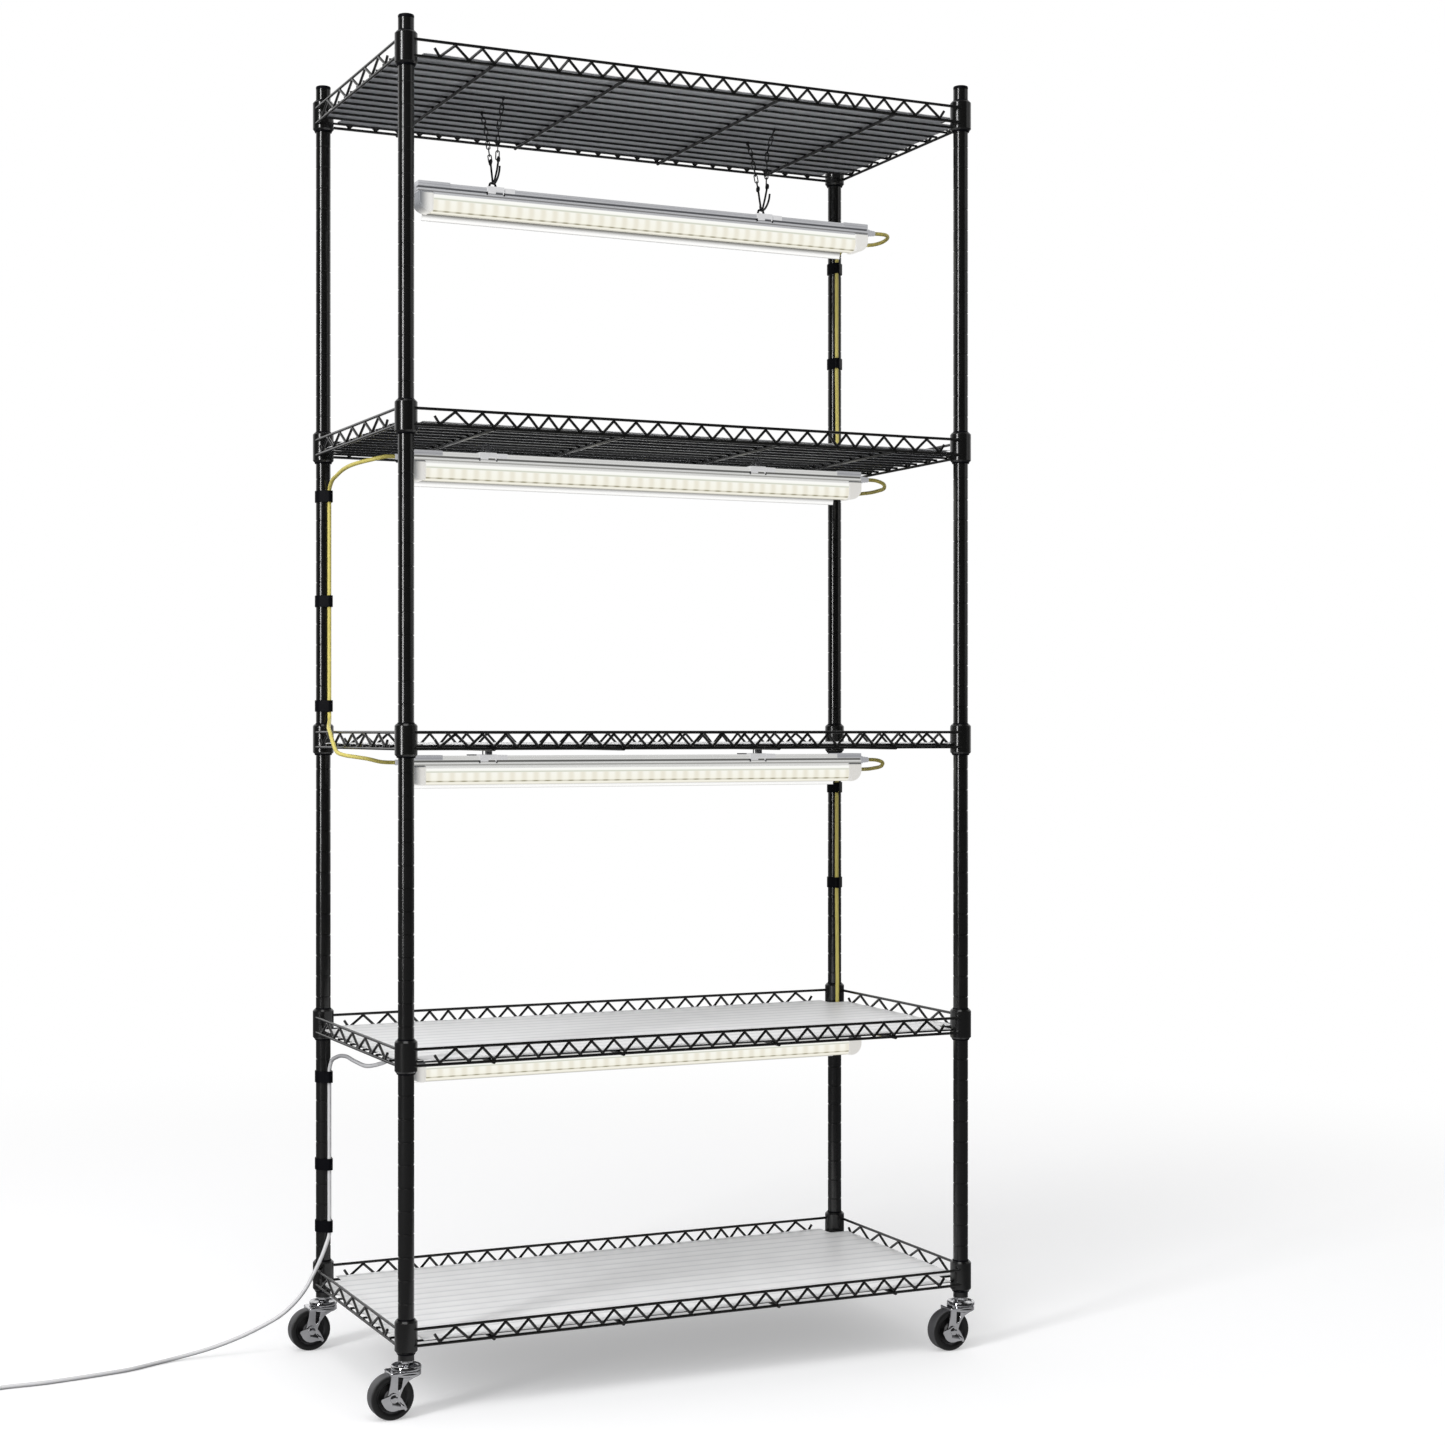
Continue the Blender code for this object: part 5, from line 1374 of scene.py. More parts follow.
    def end_blocks(self) -> Item:
        """Return the blocks on top of both ends and the stepped strain reliefs."""
        end = self.length / 2
        made = []
        for sign, block_length in ((-1, self.block_left), (1, self.block_right)):
            inner, outer = sign * (end - block_length), sign * (end - 0.0003)
            made.append(block((min(inner, outer), -self.block_half, -self.groove_top + 0.0004),
                              (max(inner, outer), self.block_half, 0.0009), 0.0006))
            relief = turned(list(self.relief_steps), 28)
            turn = turn_by(sign * 90, "Y")
            made.append(moved(relief, move_by(sign * end, 0, -self.relief_axis) @ turn))
        return merged(made)

    def saddle_pair(self) -> Item:
        """Return the two clips that grip the bar, each with its low second block."""
        made = []
        half, inner = self.saddle_half, self.bar_half - 0.0002
        outline = [(-half, -0.0070), (-inner, -0.0070), (-inner, -0.0002), (inner, -0.0002),
                   (inner, -0.0070), (half, -0.0070), (half, 0.0008), (half - 0.0007, 0.0015),
                   (-half + 0.0007, 0.0015), (-half, 0.0008)]
        for place in self.saddles:
            start, end = place - self.saddle_length / 2, place + self.saddle_length / 2
            grip = bar_along_x(outline, start, end)
            window = block((place, -0.02, -0.0072), (end - 0.0014, 0.02, -0.0042))
            made.append(softened(cut_by(grip, window), 0.0003))
            made.append(block((end + 0.0014, -self.bar_half - 0.0004, -0.0050),
                              (end + 0.0140, self.bar_half + 0.0004, 0.0008), 0.0004))
        return merged(made)

    def notch_shade_blocks(self) -> list[Item]:
        """Return small dark blocks at both ends of each clip, put there as painted shade in the
        notches.
        """
        reach = self.saddle_half + 0.0003
        ends = [place + side * self.saddle_length / 2 for place in self.saddles for side in (-1, 1)]
        return [block((end - 0.0006, -reach, -0.0090), (end + 0.0006, reach, -0.0054), 0.0002)
                for end in ends]

    def cover(self) -> Item:
        """Return the frosted cover, lit from inside."""
        def side(inset: float) -> Profile:
            """Return the wall's line at an inset from the outside."""
            half, foot = self.cover_half - inset, -self.height + inset
            corner = self.cover_corner - inset
            turn = arc(corner, (half - corner, foot + corner), 0, -90, 9)
            right = [(half, -self.cover_top)] + turn
            return right + [(-y, z) for y, z in reversed(right)]
        outline = side(0.0002) + side(self.cover_wall)[::-1]
        end = self.length / 2 - self.cap_length - 0.0003
        return self.charted(bar_along_x(outline, -end, end))

    def chart_cover(self, item: Item, edge: float) -> None:
        """Chart the cover round its wall, so that the board's edge shows where the photo has it.

        Args:
            item: the cover.
            edge: the way round the wall at which the board's lower edge shows, in millimetres.
        """
        corner, low = self.cover_corner, self.height - self.cover_corner
        seam, drawn = 0.0195, 0.0284
        for turn, spot in zip(item.data.loops, item.data.uv_layers["strip"].data):
            place = item.data.vertices[turn.vertex_index].co
            way = -place.z
            if way > low:
                angle = math.atan2(way - low, abs(place.y) - self.cover_half + corner)
                way = low + corner * min(angle, math.pi / 2)
                if abs(place.y) < self.cover_half - corner + 0.0001:
                    rest = self.cover_half - corner
                    way = low + corner * math.pi / 2 + rest - math.copysign(
                        min(abs(place.y), rest), -place.y)
            if way > seam:
                way = seam + (way - seam) * (drawn - seam) / (edge - seam)
            spot.uv = (place.x * 1000, way * 1000)

    def charted(self, item: Item) -> Item:
        """Give a piece a UV map of millimetres from the light's middle and down from its top."""
        chart = item.data.uv_layers.new(name="strip")
        for corner, spot in zip(item.data.loops, chart.data):
            place = item.data.vertices[corner.vertex_index].co
            spot.uv = (place.x * 1000, -place.z * 1000)
        return item

    def deck_clips(self, wire_height: float) -> Item:
        """Return the steel clips that hang a light from a deck wire."""
        made = self.notch_shade_blocks()
        for place in self.saddles:
            front, back = self.deck_wire_y - self.clip_plate, self.deck_wire_y + self.clip_plate
            hook = [(place, self.deck_wire_y - self.clip_bend, self.clip_foot),
                    (place, self.deck_wire_y - self.clip_bend, wire_height - 0.0005)]
            hook += [(place, self.deck_wire_y + y, wire_height + UNDER_LINER * z)
                     for y, z in arc(self.clip_bend, (0, 0), 170, 10, 7)]
            hook.append((place, self.deck_wire_y + self.clip_bend, self.clip_foot))
            made.append(solid_wire(rounded(hook, 0.0006), self.clip_wire, 2))
            made.append(block((place - 0.0035, front, self.clip_foot),
                              (place + 0.0035, back, 0.0070), 0.0005))
            middle = place - self.spring_shift
            spring = [(middle + x, front, self.spring_height + z)
                      for x, z in arc(self.spring_radius, (0, 0), 180, 0, 9)]
            spring = [(spring[0][0], front, 0.0014)] + spring + [(spring[-1][0], front, 0.0014)]
            made.append(solid_wire(spring, self.clip_wire, 2))
            made.append(block((place - 0.0220, -0.0040, 0.0002), (place - 0.0120, 0.0040, 0.0016),
                              0.0004))
        return merged(made)

    def hook_brackets(self) -> Item:
        """Return the two small folded brackets that the hanging light's hooks go through."""
        made = self.notch_shade_blocks()
        for place in self.saddles:
            legs = [(place - 0.0048, 0.0, 0.0012), (place - 0.0030, 0.0, 0.0080),
                    (place + 0.0030, 0.0, 0.0080), (place + 0.0048, 0.0, 0.0012)]
            made.append(solid_wire(rounded(legs, self.bracket_round), self.bracket_wire, 2))
            made.append(block((place - 0.0030, -0.0060, 0.0010), (place + 0.0030, 0.0060, 0.0022),
                              0.0004))
        return merged(made)


@dataclass
class Hangers:
    """Link chains with wire hooks between the top deck and the highest light."""

    link_wire: float = 0.0014
    link_long: float = 0.0120
    link_wide: float = 0.0054
    hook_wire: float = 0.0026
    eye_radius: float = 0.0028
    deck_height: float = 1.5041
    deck_wire_y: float = 0.03675
    foot_height: float = 1.4095
    # The hooks' lower ends, as y and height above the hooks' foot.
    back_foot: tuple[Pair, ...] = ((-0.0004, 0.0040), (-0.0040, 0.0002), (-0.0111, 0.0006),
                                   (-0.0185, 0.0050), (-0.0232, 0.0110), (-0.0246, 0.0172))
    front_foot: tuple[Pair, ...] = ((-0.0032, 0.0040), (-0.0002, 0.0002), (0.0034, 0.0030),
                                    (0.0044, 0.0080))
    lines: dict[str, tuple[Pair, ...]] = field(default_factory=lambda: {
        "hanger_left": ((0.0241, 1.4824), (0.0069, 1.4375), (-0.0202, 1.4721), (-0.0165, 1.4361)),
        "hanger_right": ((0.0254, 1.4859), (0.0075, 1.4390), (-0.0175, 1.4790), (-0.0150, 1.4375))})

    def build(self, shop: Workshop, layout: Layout) -> None:
        """Make both hangers."""
        for (name, line), place in zip(self.lines.items(), GrowLights.saddles):
            shift = layout.home() @ move_by(place + layout.lamp_shift["lamp_1"], 0, 0)
            back_waist, back_eye, front_waist, front_eye = line
            made = self.chain((self.deck_wire_y, self.deck_height), back_waist, back_eye)
            made += self.chain((-self.deck_wire_y, self.deck_height), front_waist, front_eye)
            made += self.hooks(back_eye, front_eye)
            shop.place(moved(merged(made), shift), f"{name}_chain", DARK_ZINC, name, name)

    def chain(self, top: Pair, waist: Pair, foot: Pair) -> list[Item]:
        """Return the links from a deck wire through the waist to a hook's eye."""
        line = [Vector((0, *top)), Vector((0, *waist)), Vector((0, *foot))]
        pitch = self.link_long - self.link_wire * 1.6
        made, turn = [self.ring(line[0], 0.0030)], 0
        for start, end in zip(line, line[1:]):
            run = end - start
            count = max(1, round(run.length / pitch))
            for step in range(count):
                middle = start + run * ((step + 0.5) / count)
                made.append(self.link(middle, run.normalized(), turn, run.length / count))
                turn += 1
        return made

    def link(self, middle: Vector, along: Vector, turn: int, pitch: float) -> Item:
        """Return one oval link, every second one turned a quarter."""
        half, side = pitch / 2 + self.link_wire * 0.7, self.link_wide / 2 - self.link_wire / 2
        run = half - side
        loop = [(x, y + run, 0.0) for x, y in arc(side, (0, 0), 0, 180, 7)]
        loop += [(x, y - run, 0.0) for x, y in arc(side, (0, 0), 180, 360, 7)]
        item = solid_wire(loop, self.link_wire, 1, cyclic=True)
        pose = along.to_track_quat("Y", "X").to_matrix().to_4x4()
        spin = turn_by(90 * (turn % 2) + 20, "Y")
        return moved(item, move_by(*middle) @ pose @ spin)

    def ring(self, centre: Vector, radius: float) -> Item:
        """Return a ring hooked round a deck wire, which runs along X."""
        loop = [(0.0, centre.y + y, centre.z + (UNDER_LINER * z if z > 0 else z))
                for y, z in arc(radius, (0, 0), -75, 255, 16)]
        return solid_wire(loop, self.link_wire, 1)

    def hooks(self, back: Pair, front: Pair) -> list[Item]:
        """Return the two long wire hooks that meet in the light's bracket."""
        eye = self.eye_radius
        back_line = [(0.0, back[0] + y, back[1] + z) for y, z in arc(eye, (0, 0), -60, 250, 12)]
        back_line += [(0.0, back[0] - 0.0036, back[1] - 0.0120)]
        back_line += [(0.0, y, self.foot_height + z) for y, z in self.back_foot]
        shift = 0.0014
        front_line = [(shift, front[0] + y, front[1] + z)
                      for y, z in arc(eye, (0, 0), 240, -70, 12)]
        front_line += [(shift, front[0] + 0.0052, front[1] - 0.0120)]
        front_line += [(shift, y, self.foot_height + z) for y, z in self.front_foot]
        return [solid_wire(rounded(line, 0.003), self.hook_wire, 2)
                for line in (back_line, front_line)]


# Cables: the routes repeat the ones that the frame was built on, round the posts' middle
LINK_1_ROUTE = (
    (0.3275, 0.0, 1.3955), (0.3345, 0.0, 1.3957), (0.348, 0.006, 1.3965), (0.358, 0.020, 1.3962),
    (0.3605, 0.035, 1.3948), (0.3575, 0.052, 1.3940), (0.3545, 0.068, 1.3958),
    (0.3535, 0.088, 1.400), (0.3535, 0.112, 1.4035), (0.3538, 0.135, 1.4005),
    (0.354, 0.146, 1.3945), (0.354, 0.1486, 1.3885), (0.354, 0.1486, 1.372),
    (0.354, 0.1486, 1.260), (0.354, 0.1486, 1.243), (0.3535, 0.1465, 1.180), (0.353, 0.145, 1.130),
    (0.353, 0.145, 1.098), (0.353, 0.1447, 1.091), (0.353, 0.140, 1.0795), (0.353, 0.124, 1.0735),
    (0.353, 0.080, 1.070), (0.353, 0.040, 1.0695), (0.351, 0.016, 1.0715),
    (0.341, 0.0025, 1.0757), (0.328, 0.0, 1.0787), (0.318, 0.0, 1.079),
)
LINK_2_ROUTE = (
    (-0.318, 0.0, 1.079), (-0.329, 0.0, 1.0785), (-0.342, 0.008, 1.0755), (-0.352, 0.035, 1.0735),
    (-0.3555, 0.075, 1.071), (-0.355, 0.110, 1.066), (-0.3532, 0.138, 1.0605),
    (-0.3525, 0.1491, 1.0525), (-0.3525, 0.1491, 1.0370), (-0.3525, 0.1491, 0.9161),
    (-0.3525, 0.1491, 0.7878), (-0.3525, 0.1491, 0.7795), (-0.3540, 0.1435, 0.7730),
    (-0.3592, 0.127, 0.7680), (-0.3655, 0.108, 0.7642), (-0.3715, 0.088, 0.7605),
    (-0.3742, 0.072, 0.754), (-0.3745, 0.060, 0.743), (-0.3738, 0.048, 0.733),
    (-0.3705, 0.030, 0.7290), (-0.3612, 0.012, 0.7268), (-0.349, 0.0025, 0.7245),
    (-0.334, 0.0, 0.7210), (-0.326, 0.0, 0.7204), (-0.318, 0.0, 0.7203),
)
LINK_3_ROUTE = (
    (0.318, 0.0, 0.7203), (0.328, 0.0002, 0.7200), (0.342, 0.006, 0.7170), (0.3495, 0.020, 0.7122),
    (0.352, 0.050, 0.708), (0.353, 0.090, 0.706), (0.3535, 0.122, 0.7040), (0.3538, 0.139, 0.6995),
    (0.354, 0.147, 0.6945), (0.354, 0.1486, 0.6890), (0.354, 0.1486, 0.673),
    (0.354, 0.1486, 0.561), (0.354, 0.1486, 0.544), (0.3535, 0.1465, 0.470), (0.353, 0.145, 0.424),
    (0.353, 0.145, 0.391), (0.353, 0.1447, 0.384), (0.353, 0.140, 0.3725), (0.353, 0.124, 0.366),
    (0.353, 0.080, 0.3625), (0.353, 0.040, 0.362), (0.351, 0.016, 0.364), (0.341, 0.0025, 0.3682),
    (0.328, 0.0, 0.3712), (0.318, 0.0, 0.3715),
)
MAINS_ROUTE = (
    (-0.318, 0.0, 0.3715), (-0.323, 0.0, 0.3714), (-0.332, 0.006, 0.3675),
    (-0.3415, 0.028, 0.3620), (-0.347, 0.060, 0.3635), (-0.3485, 0.095, 0.3655),
    (-0.350, 0.125, 0.361), (-0.3518, 0.1440, 0.3525), (-0.3525, 0.1491, 0.3420),
    (-0.3525, 0.1491, 0.3260), (-0.3525, 0.1491, 0.2267), (-0.3525, 0.1491, 0.1580),
    (-0.3525, 0.1491, 0.1425), (-0.3586, 0.146, 0.1264), (-0.3731, 0.143, 0.0979),
    (-0.3861, 0.145, 0.0749), (-0.4118, 0.150, 0.0487), (-0.4371, 0.156, 0.0342),
    (-0.4875, 0.168, 0.0138), (-0.5395, 0.171, 0.0035), (-0.5702, 0.1598, 0.0026),
    (-0.5963, 0.1484, 0.0026), (-0.6211, 0.1429, 0.0026), (-0.6491, 0.1381, 0.0026),
    (-0.700, 0.1317, 0.0026), (-0.7492, 0.1315, 0.0026), (-0.766, 0.1285, 0.0026),
    (-0.7795, 0.117, 0.0036), (-0.7845, 0.103, 0.0058), (-0.7852, 0.0925, 0.0065),
    (-0.7861, 0.0866, 0.0065),
)


def smooth_line(route: tuple[Point, ...], shift: Vector, step: float = 0.004) -> list[Vector]:
    """Return points on a smooth line through a route's points.

    Args:
        route: the points that the line passes through.
        shift: the move from the posts' middle to the frame's own place.
        step: about how far the points lie apart.

    Returns:
        The points in the frame's own place.
    """
    knots = [Vector(point) + shift for point in route]
    knots = [2 * knots[0] - knots[1]] + knots + [2 * knots[-1] - knots[-2]]
    line = [knots[1]]
    for index in range(1, len(knots) - 2):
        before, start, end, after = knots[index - 1:index + 3]
        lead, span, tail = (start - before).length, (end - start).length, (after - end).length
        leave = ((start - before) / lead - (end - before) / (lead + span)
                 + (end - start) / span) * span
        arrive = ((end - start) / span - (after - start) / (span + tail)
                  + (after - end) / tail) * span
        pieces = max(1, round(span / step))
        for piece in range(1, pieces + 1):
            t = piece / pieces
            line.append((2 * t**3 - 3 * t**2 + 1) * start + (t**3 - 2 * t**2 + t) * leave
                        + (3 * t**2 - 2 * t**3) * end + (t**3 - t**2) * arrive)
    return line


@dataclass
class LinkCables:
    """Yellow cables that feed each light from the one above it."""

    diameter: float = 0.0048
    links: tuple[tuple[str, tuple[Point, ...]], ...] = (
        ("link_cable_1", LINK_1_ROUTE), ("link_cable_2", LINK_2_ROUTE),
        ("link_cable_3", LINK_3_ROUTE))
    give_from: Point = (0.354, 0.1486, 1.372)
    give_to: Point = (0.3345, 0.0, 1.3957)

    def build(self, shop: Workshop, layout: Layout) -> None:
        """Make the three cables; the highest one rides on no body."""
        for name, route in self.links:
            line = smooth_line(route, layout.centre())
            item = solid_wire([tuple(place) for place in line], self.diameter, 3)
            item = shop.place(item, f"yellow_{name}", YELLOW_PVC, name)
            if name == "link_cable_1":
                item.parent = None
                del item["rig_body"]
                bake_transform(item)


@dataclass
class MainsCord:
    """White cord from the lowest light to the timer, the coil of spare cord, and the plug."""

    diameter: float = 0.0048
    timer_centre: Pair = (-0.795, 0.030)
    heading: float = -98.9
    timer_length: float = 0.090
    timer_width: float = 0.030
    timer_height: float = 0.014
    timer_axis: float = 0.0065
    relief_length: float = 0.012
    gap: float = 0.0003
    button_places: dict[str, float] = field(default_factory=lambda: {
        "timer_button": -0.006, "power_button": 0.024})
    button_radius: float = 0.0042
    button_rise: float = 0.0008
    panel_margin: float = 0.0035
    panel_gap: float = 0.0003
    panel_rise: float = 0.0005
    mark_depth: float = 0.0002
    mark_rise: float = 0.0001
    dot_pitch: float = 0.0043
    print_wire: float = 0.0003
    sign_wire: float = 0.0005
    coil_radius: float = 0.0323
    coil_pitch: float = 0.0055
    coil_layer: float = 0.0055
    coil_loops: int = 4
    coil_points: int = 48
    coil_lead: float = 0.034
    coil_lead_level: float = 0.011
    coil_tail: float = 0.040
    tie_turn: float = 90.0
    lead_steps: int = 8
    turn_share: float = 0.25
    plug_length: float = 0.034
    plug_half_width: float = 0.012
    plug_height: float = 0.017
    plug_relief: float = 0.012
    blade_length: float = 0.017
    blade_spacing: float = 0.0127

    def build(self, shop: Workshop, layout: Layout) -> None:
        """Make the cord with all that is on it."""
        place = layout.home() @ move_by(*self.timer_centre, 0.0) @ turn_by(self.heading)
        timer = self.timer(shop, place)
        line = smooth_line(MAINS_ROUTE, layout.centre())
        line.append(place @ Vector((self.timer_length / 2, 0, self.timer_axis)))
        cord = wire([tuple(spot) for spot in line], self.diameter, 4)
        shop.place(cord, "white_mains_cord", WHITE_PVC, "mains_cord")
        turns = [place @ spot for spot in self.coil_line()]
        coil = wire([tuple(spot) for spot in turns], self.diameter, 4)
        shop.place(coil, "white_cord_coil", WHITE_PVC, "cord_coil")
        plug = self.plug(shop, place, (place.inverted() @ turns[-1]).x)
        tie = self.tie(shop, place)

    def ease(self, share: float) -> float:
        """Return a share that starts and stops gently."""
        return share * share * (3 - 2 * share)

    def coil_line(self) -> list[Vector]:
        """Return the line from the timer, round the coil's loops and on to the plug, along X."""
        low = self.diameter / 2
        start = self.timer_length / 2 + self.relief_length + self.gap
        enter = start + self.coil_lead
        ramp = self.coil_lead - self.diameter - self.coil_lead_level
        line = [Vector((start, 0, self.timer_axis))]
        for step in range(self.lead_steps + 1):
            share = step / self.lead_steps
            line.append(Vector((start + self.diameter + ramp * share, 0,
                                self.timer_axis + (low - self.timer_axis) * self.ease(share))))
        middle = self.coil_loops / 2
        for step in range(self.coil_loops * self.coil_points + 1):
            turns = step / self.coil_points
            away = turns - middle
            far = abs(away)
            corner = far if far > self.turn_share else (
                far * far / self.turn_share + self.turn_share) / 2
            radius = self.coil_radius - self.coil_pitch * (middle - corner)
            climb = away / (2 * self.turn_share) + 1 / 2
            height = low + self.coil_layer * self.ease(min(1.0, max(0.0, climb)))
            angle = 2 * math.pi * turns
            line.append(Vector((enter + radius * math.sin(angle),
                                radius * math.cos(angle) - self.coil_radius, height)))
        level = low + self.coil_layer
        for step in range(1, self.lead_steps + 1):
            share = step / self.lead_steps
            line.append(Vector((enter + (self.coil_tail - self.diameter) * share, 0,
                                level + (self.plug_height / 2 - level) * self.ease(share))))
        line.append(Vector((enter + self.coil_tail, 0, self.plug_height / 2)))
        return line

    def stadium(self, length: float, width: float, steps: int = 15) -> Profile:
        """Return the outline of a strip with round ends, along X."""
        radius = width / 2
        reach = length / 2 - radius
        return arc(radius, (reach, 0), -90, 90, steps) + arc(radius, (-reach, 0), 90, 270, steps)

    def ribbed_relief(self, root: float, tip: float, length: float) -> Item:
        """Return a tapered strain relief with three ribs, pointing along X."""
        profile = [(root, -0.002), (root, length * 0.12)]
        for rib in range(3):
            start = length * (0.18 + 0.26 * rib)
            radius = root + (tip - root) * (0.3 + 0.3 * rib)
            profile += [(radius - 0.0007, start), (radius - 0.0007, start + length * 0.07),
                        (radius, start + length * 0.10), (radius, start + length * 0.19)]
        profile += [(tip - 0.0004, length * 0.97), (tip - 0.0009, length)]
        return moved(turned(profile, 28), turn_by(90, "Y"))

    def timer(self, shop: Workshop, place: Matrix) -> list[Item]:
        """Return the timer's pieces: case, panel, buttons and the marks on them."""
        top = self.timer_height
        case = softened(plate(self.stadium(self.timer_length, self.timer_width), 0.0, top),
                        0.0028, 5)
        panel_length = self.timer_length - 2 * self.panel_margin
        panel_width = self.timer_width - 2 * self.panel_margin
        recess = plate(self.stadium(panel_length + 2 * self.panel_gap,
                                    panel_width + 2 * self.panel_gap), top - 0.001, top + 0.01)
        case = cut_by(case, recess)
        reliefs = [self.ribbed_relief(0.0045, 0.0036, self.relief_length) for _ in range(2)]
        moved(reliefs[0], move_by(self.timer_length / 2, 0, self.timer_axis))
        moved(reliefs[1], move_by(-self.timer_length / 2, 0, self.timer_axis) @ turn_by(180))
        made = [shop.place(moved(merged([case] + reliefs), place), "timer_shell", WHITE_ABS,
                           "timer_case")]
        face = top + self.panel_rise
        panel = plate(self.stadium(panel_length, panel_width), top - 0.0007, face)
        for spot in self.button_places.values():
            bore = self.button_radius + self.panel_gap
            well = turned([(bore, top - 0.01), (bore, top + 0.01)], 36)
            panel = cut_by(panel, moved(well, move_by(spot, 0, 0)))
        panel = moved(softened(panel, 0.0003), place)
        made.append(shop.place(panel, "timer_face", GREY_ABS, "timer_panel"))
        dots = [self.dot(-0.0150, self.dot_pitch * side, face) for side in (-1, 0, 1)]
        dots += [self.dot(0.0163, 0.0, face)]
        low, high = face - self.mark_depth, face + self.mark_rise
        dots += [block((-0.0134, self.dot_pitch * side - 0.0019, low),
                       (-0.0113, self.dot_pitch * side + 0.0019, high)) for side in (-1, 0, 1)]
        made.append(shop.place(moved(merged(dots), place), "timer_marks", BLACK_INK))
        for name, spot in self.button_places.items():
            made += self.button(shop, name, place @ move_by(spot, 0, 0))
        return made

    def dot(self, x: float, y: float, face: float) -> Item:
        """Return a round printed mark."""
        return moved(turned([(0.0012, face - self.mark_depth), (0.0012, face + self.mark_rise)],
                            20), move_by(x, y, 0))

    def button(self, shop: Workshop, name: str, place: Matrix) -> list[Item]:
        """Return a button with its printed ring and sign."""
        top = self.timer_height + self.button_rise
        cap = softened(turned([(self.button_radius, top - 0.003), (self.button_radius, top)], 36),
                       0.0004, 3)
        made = [shop.place(moved(cap, place), f"{name}_cap", WHITE_ABS, name, name)]
        ring = solid_wire([(x, y, top) for x, y in arc(0.0033, (0, 0), 0, 348, 30)],
                          self.print_wire, 1, cyclic=True)
        if name == "power_button":
            made.append(shop.place(moved(ring, place), f"{name}_ring", BLACK_INK, body=name))
            bow = solid_wire([(x, y, top) for x, y in arc(0.0018, (0, 0), 215, 505, 20)],
                             self.sign_wire, 1)
            bar = solid_wire([(-0.0024, 0.0, top), (-0.0004, 0.0, top)], self.sign_wire, 1)
            made.append(shop.place(moved(merged([bow, bar]), place), f"{name}_sign", RED_INK,
                                   body=name))
            return made
        clock = [solid_wire([(x, y, top) for x, y in arc(0.0015, (0, 0), 0, 342, 20)],
                            self.print_wire, 1, cyclic=True)]
        clock.append(solid_wire([(-0.0009, 0.0, top), (0.0, 0.0, top), (0.0, 0.0007, top)],
                                self.print_wire, 1))
        clock += [solid_wire([(-0.0017, 0.0007 * side, top), (-0.0012, 0.0014 * side, top)],
                             0.0004, 1) for side in (-1, 1)]
        made.append(shop.place(moved(merged([ring] + clock), place), f"{name}_sign", BLACK_INK,
                               body=name))
        return made

    def plug(self, shop: Workshop, place: Matrix, cord_end: float) -> list[Item]:
        """Return the moulded plug and its two blades."""
        start = cord_end + self.gap + self.plug_relief
        half, length, tall = self.plug_half_width, self.plug_length, self.plug_height / 2
        slim = half * 0.7
        outline = arc(0.004, (0.004, -slim + 0.004), 180, 270, 5)
        outline += [(length / 2, -half), (length - 0.002, -half), (length, -half + 0.002),
                    (length, half - 0.002), (length - 0.002, half), (length / 2, half)]
        outline += arc(0.004, (0.004, slim - 0.004), 90, 180, 5)
        body = softened(plate(outline, -tall, tall), 0.0022, 4)
        ribs = []
        for rib in range(4):
            x = length * 0.18 + rib * 0.0034
            ribs.append(block((x, -slim * 0.8, tall - 0.0004), (x + 0.0016, slim * 0.8, tall),
                              0.0002))
        relief = moved(self.ribbed_relief(0.0045, 0.0036, self.plug_relief), turn_by(180))
        there = place @ move_by(start, 0, tall)
        made = [shop.place(moved(merged([body, relief] + ribs), there), "plug_body", WHITE_ABS,
                           "mains_plug")]
        blades = []
        for sign in (-1, 1):
            middle = sign * self.blade_spacing / 2
            tip = length + self.blade_length
            blade = plate([(length - 0.001, -0.0032), (tip - 0.0012, -0.0032), (tip, -0.0020),
                           (tip, 0.0020), (tip - 0.0012, 0.0032), (length - 0.001, 0.0032)],
                          -0.00075, 0.00075)
            hole = turned([(0.0016, -0.005), (0.0016, 0.005)], 20)
            blade = cut_by(blade, moved(hole, move_by(length + 0.0120, 0, 0)))
            blades.append(moved(blade, move_by(0, middle, 0) @ UPRIGHT))
        made.append(shop.place(moved(merged(blades), there), "plug_blades", NICKEL))
        return made

    def tie(self, shop: Workshop, place: Matrix) -> Item:
        """Return the twist tie round one side of the coil."""
        enter = self.timer_length / 2 + self.relief_length + self.gap + self.coil_lead
        inner = self.coil_radius - self.coil_pitch * 2
        low, high = 0.0006, self.diameter + self.coil_layer + 0.0010
        near, far = inner - 0.0036, self.coil_radius + 0.0036
        rest = (0, -(near + far) / 2, low)
        loop = rounded([rest, (0, -far, low), (0, -far, high), (0, -near, high), (0, -near, low),
                        rest], 0.003)
        band = solid_wire(loop, 0.0011, 1)
        there = place @ move_by(enter, -self.coil_radius, 0) @ turn_by(self.tie_turn)
        return shop.place(moved(band, there), "coil_tie", BLACK_NYLON)


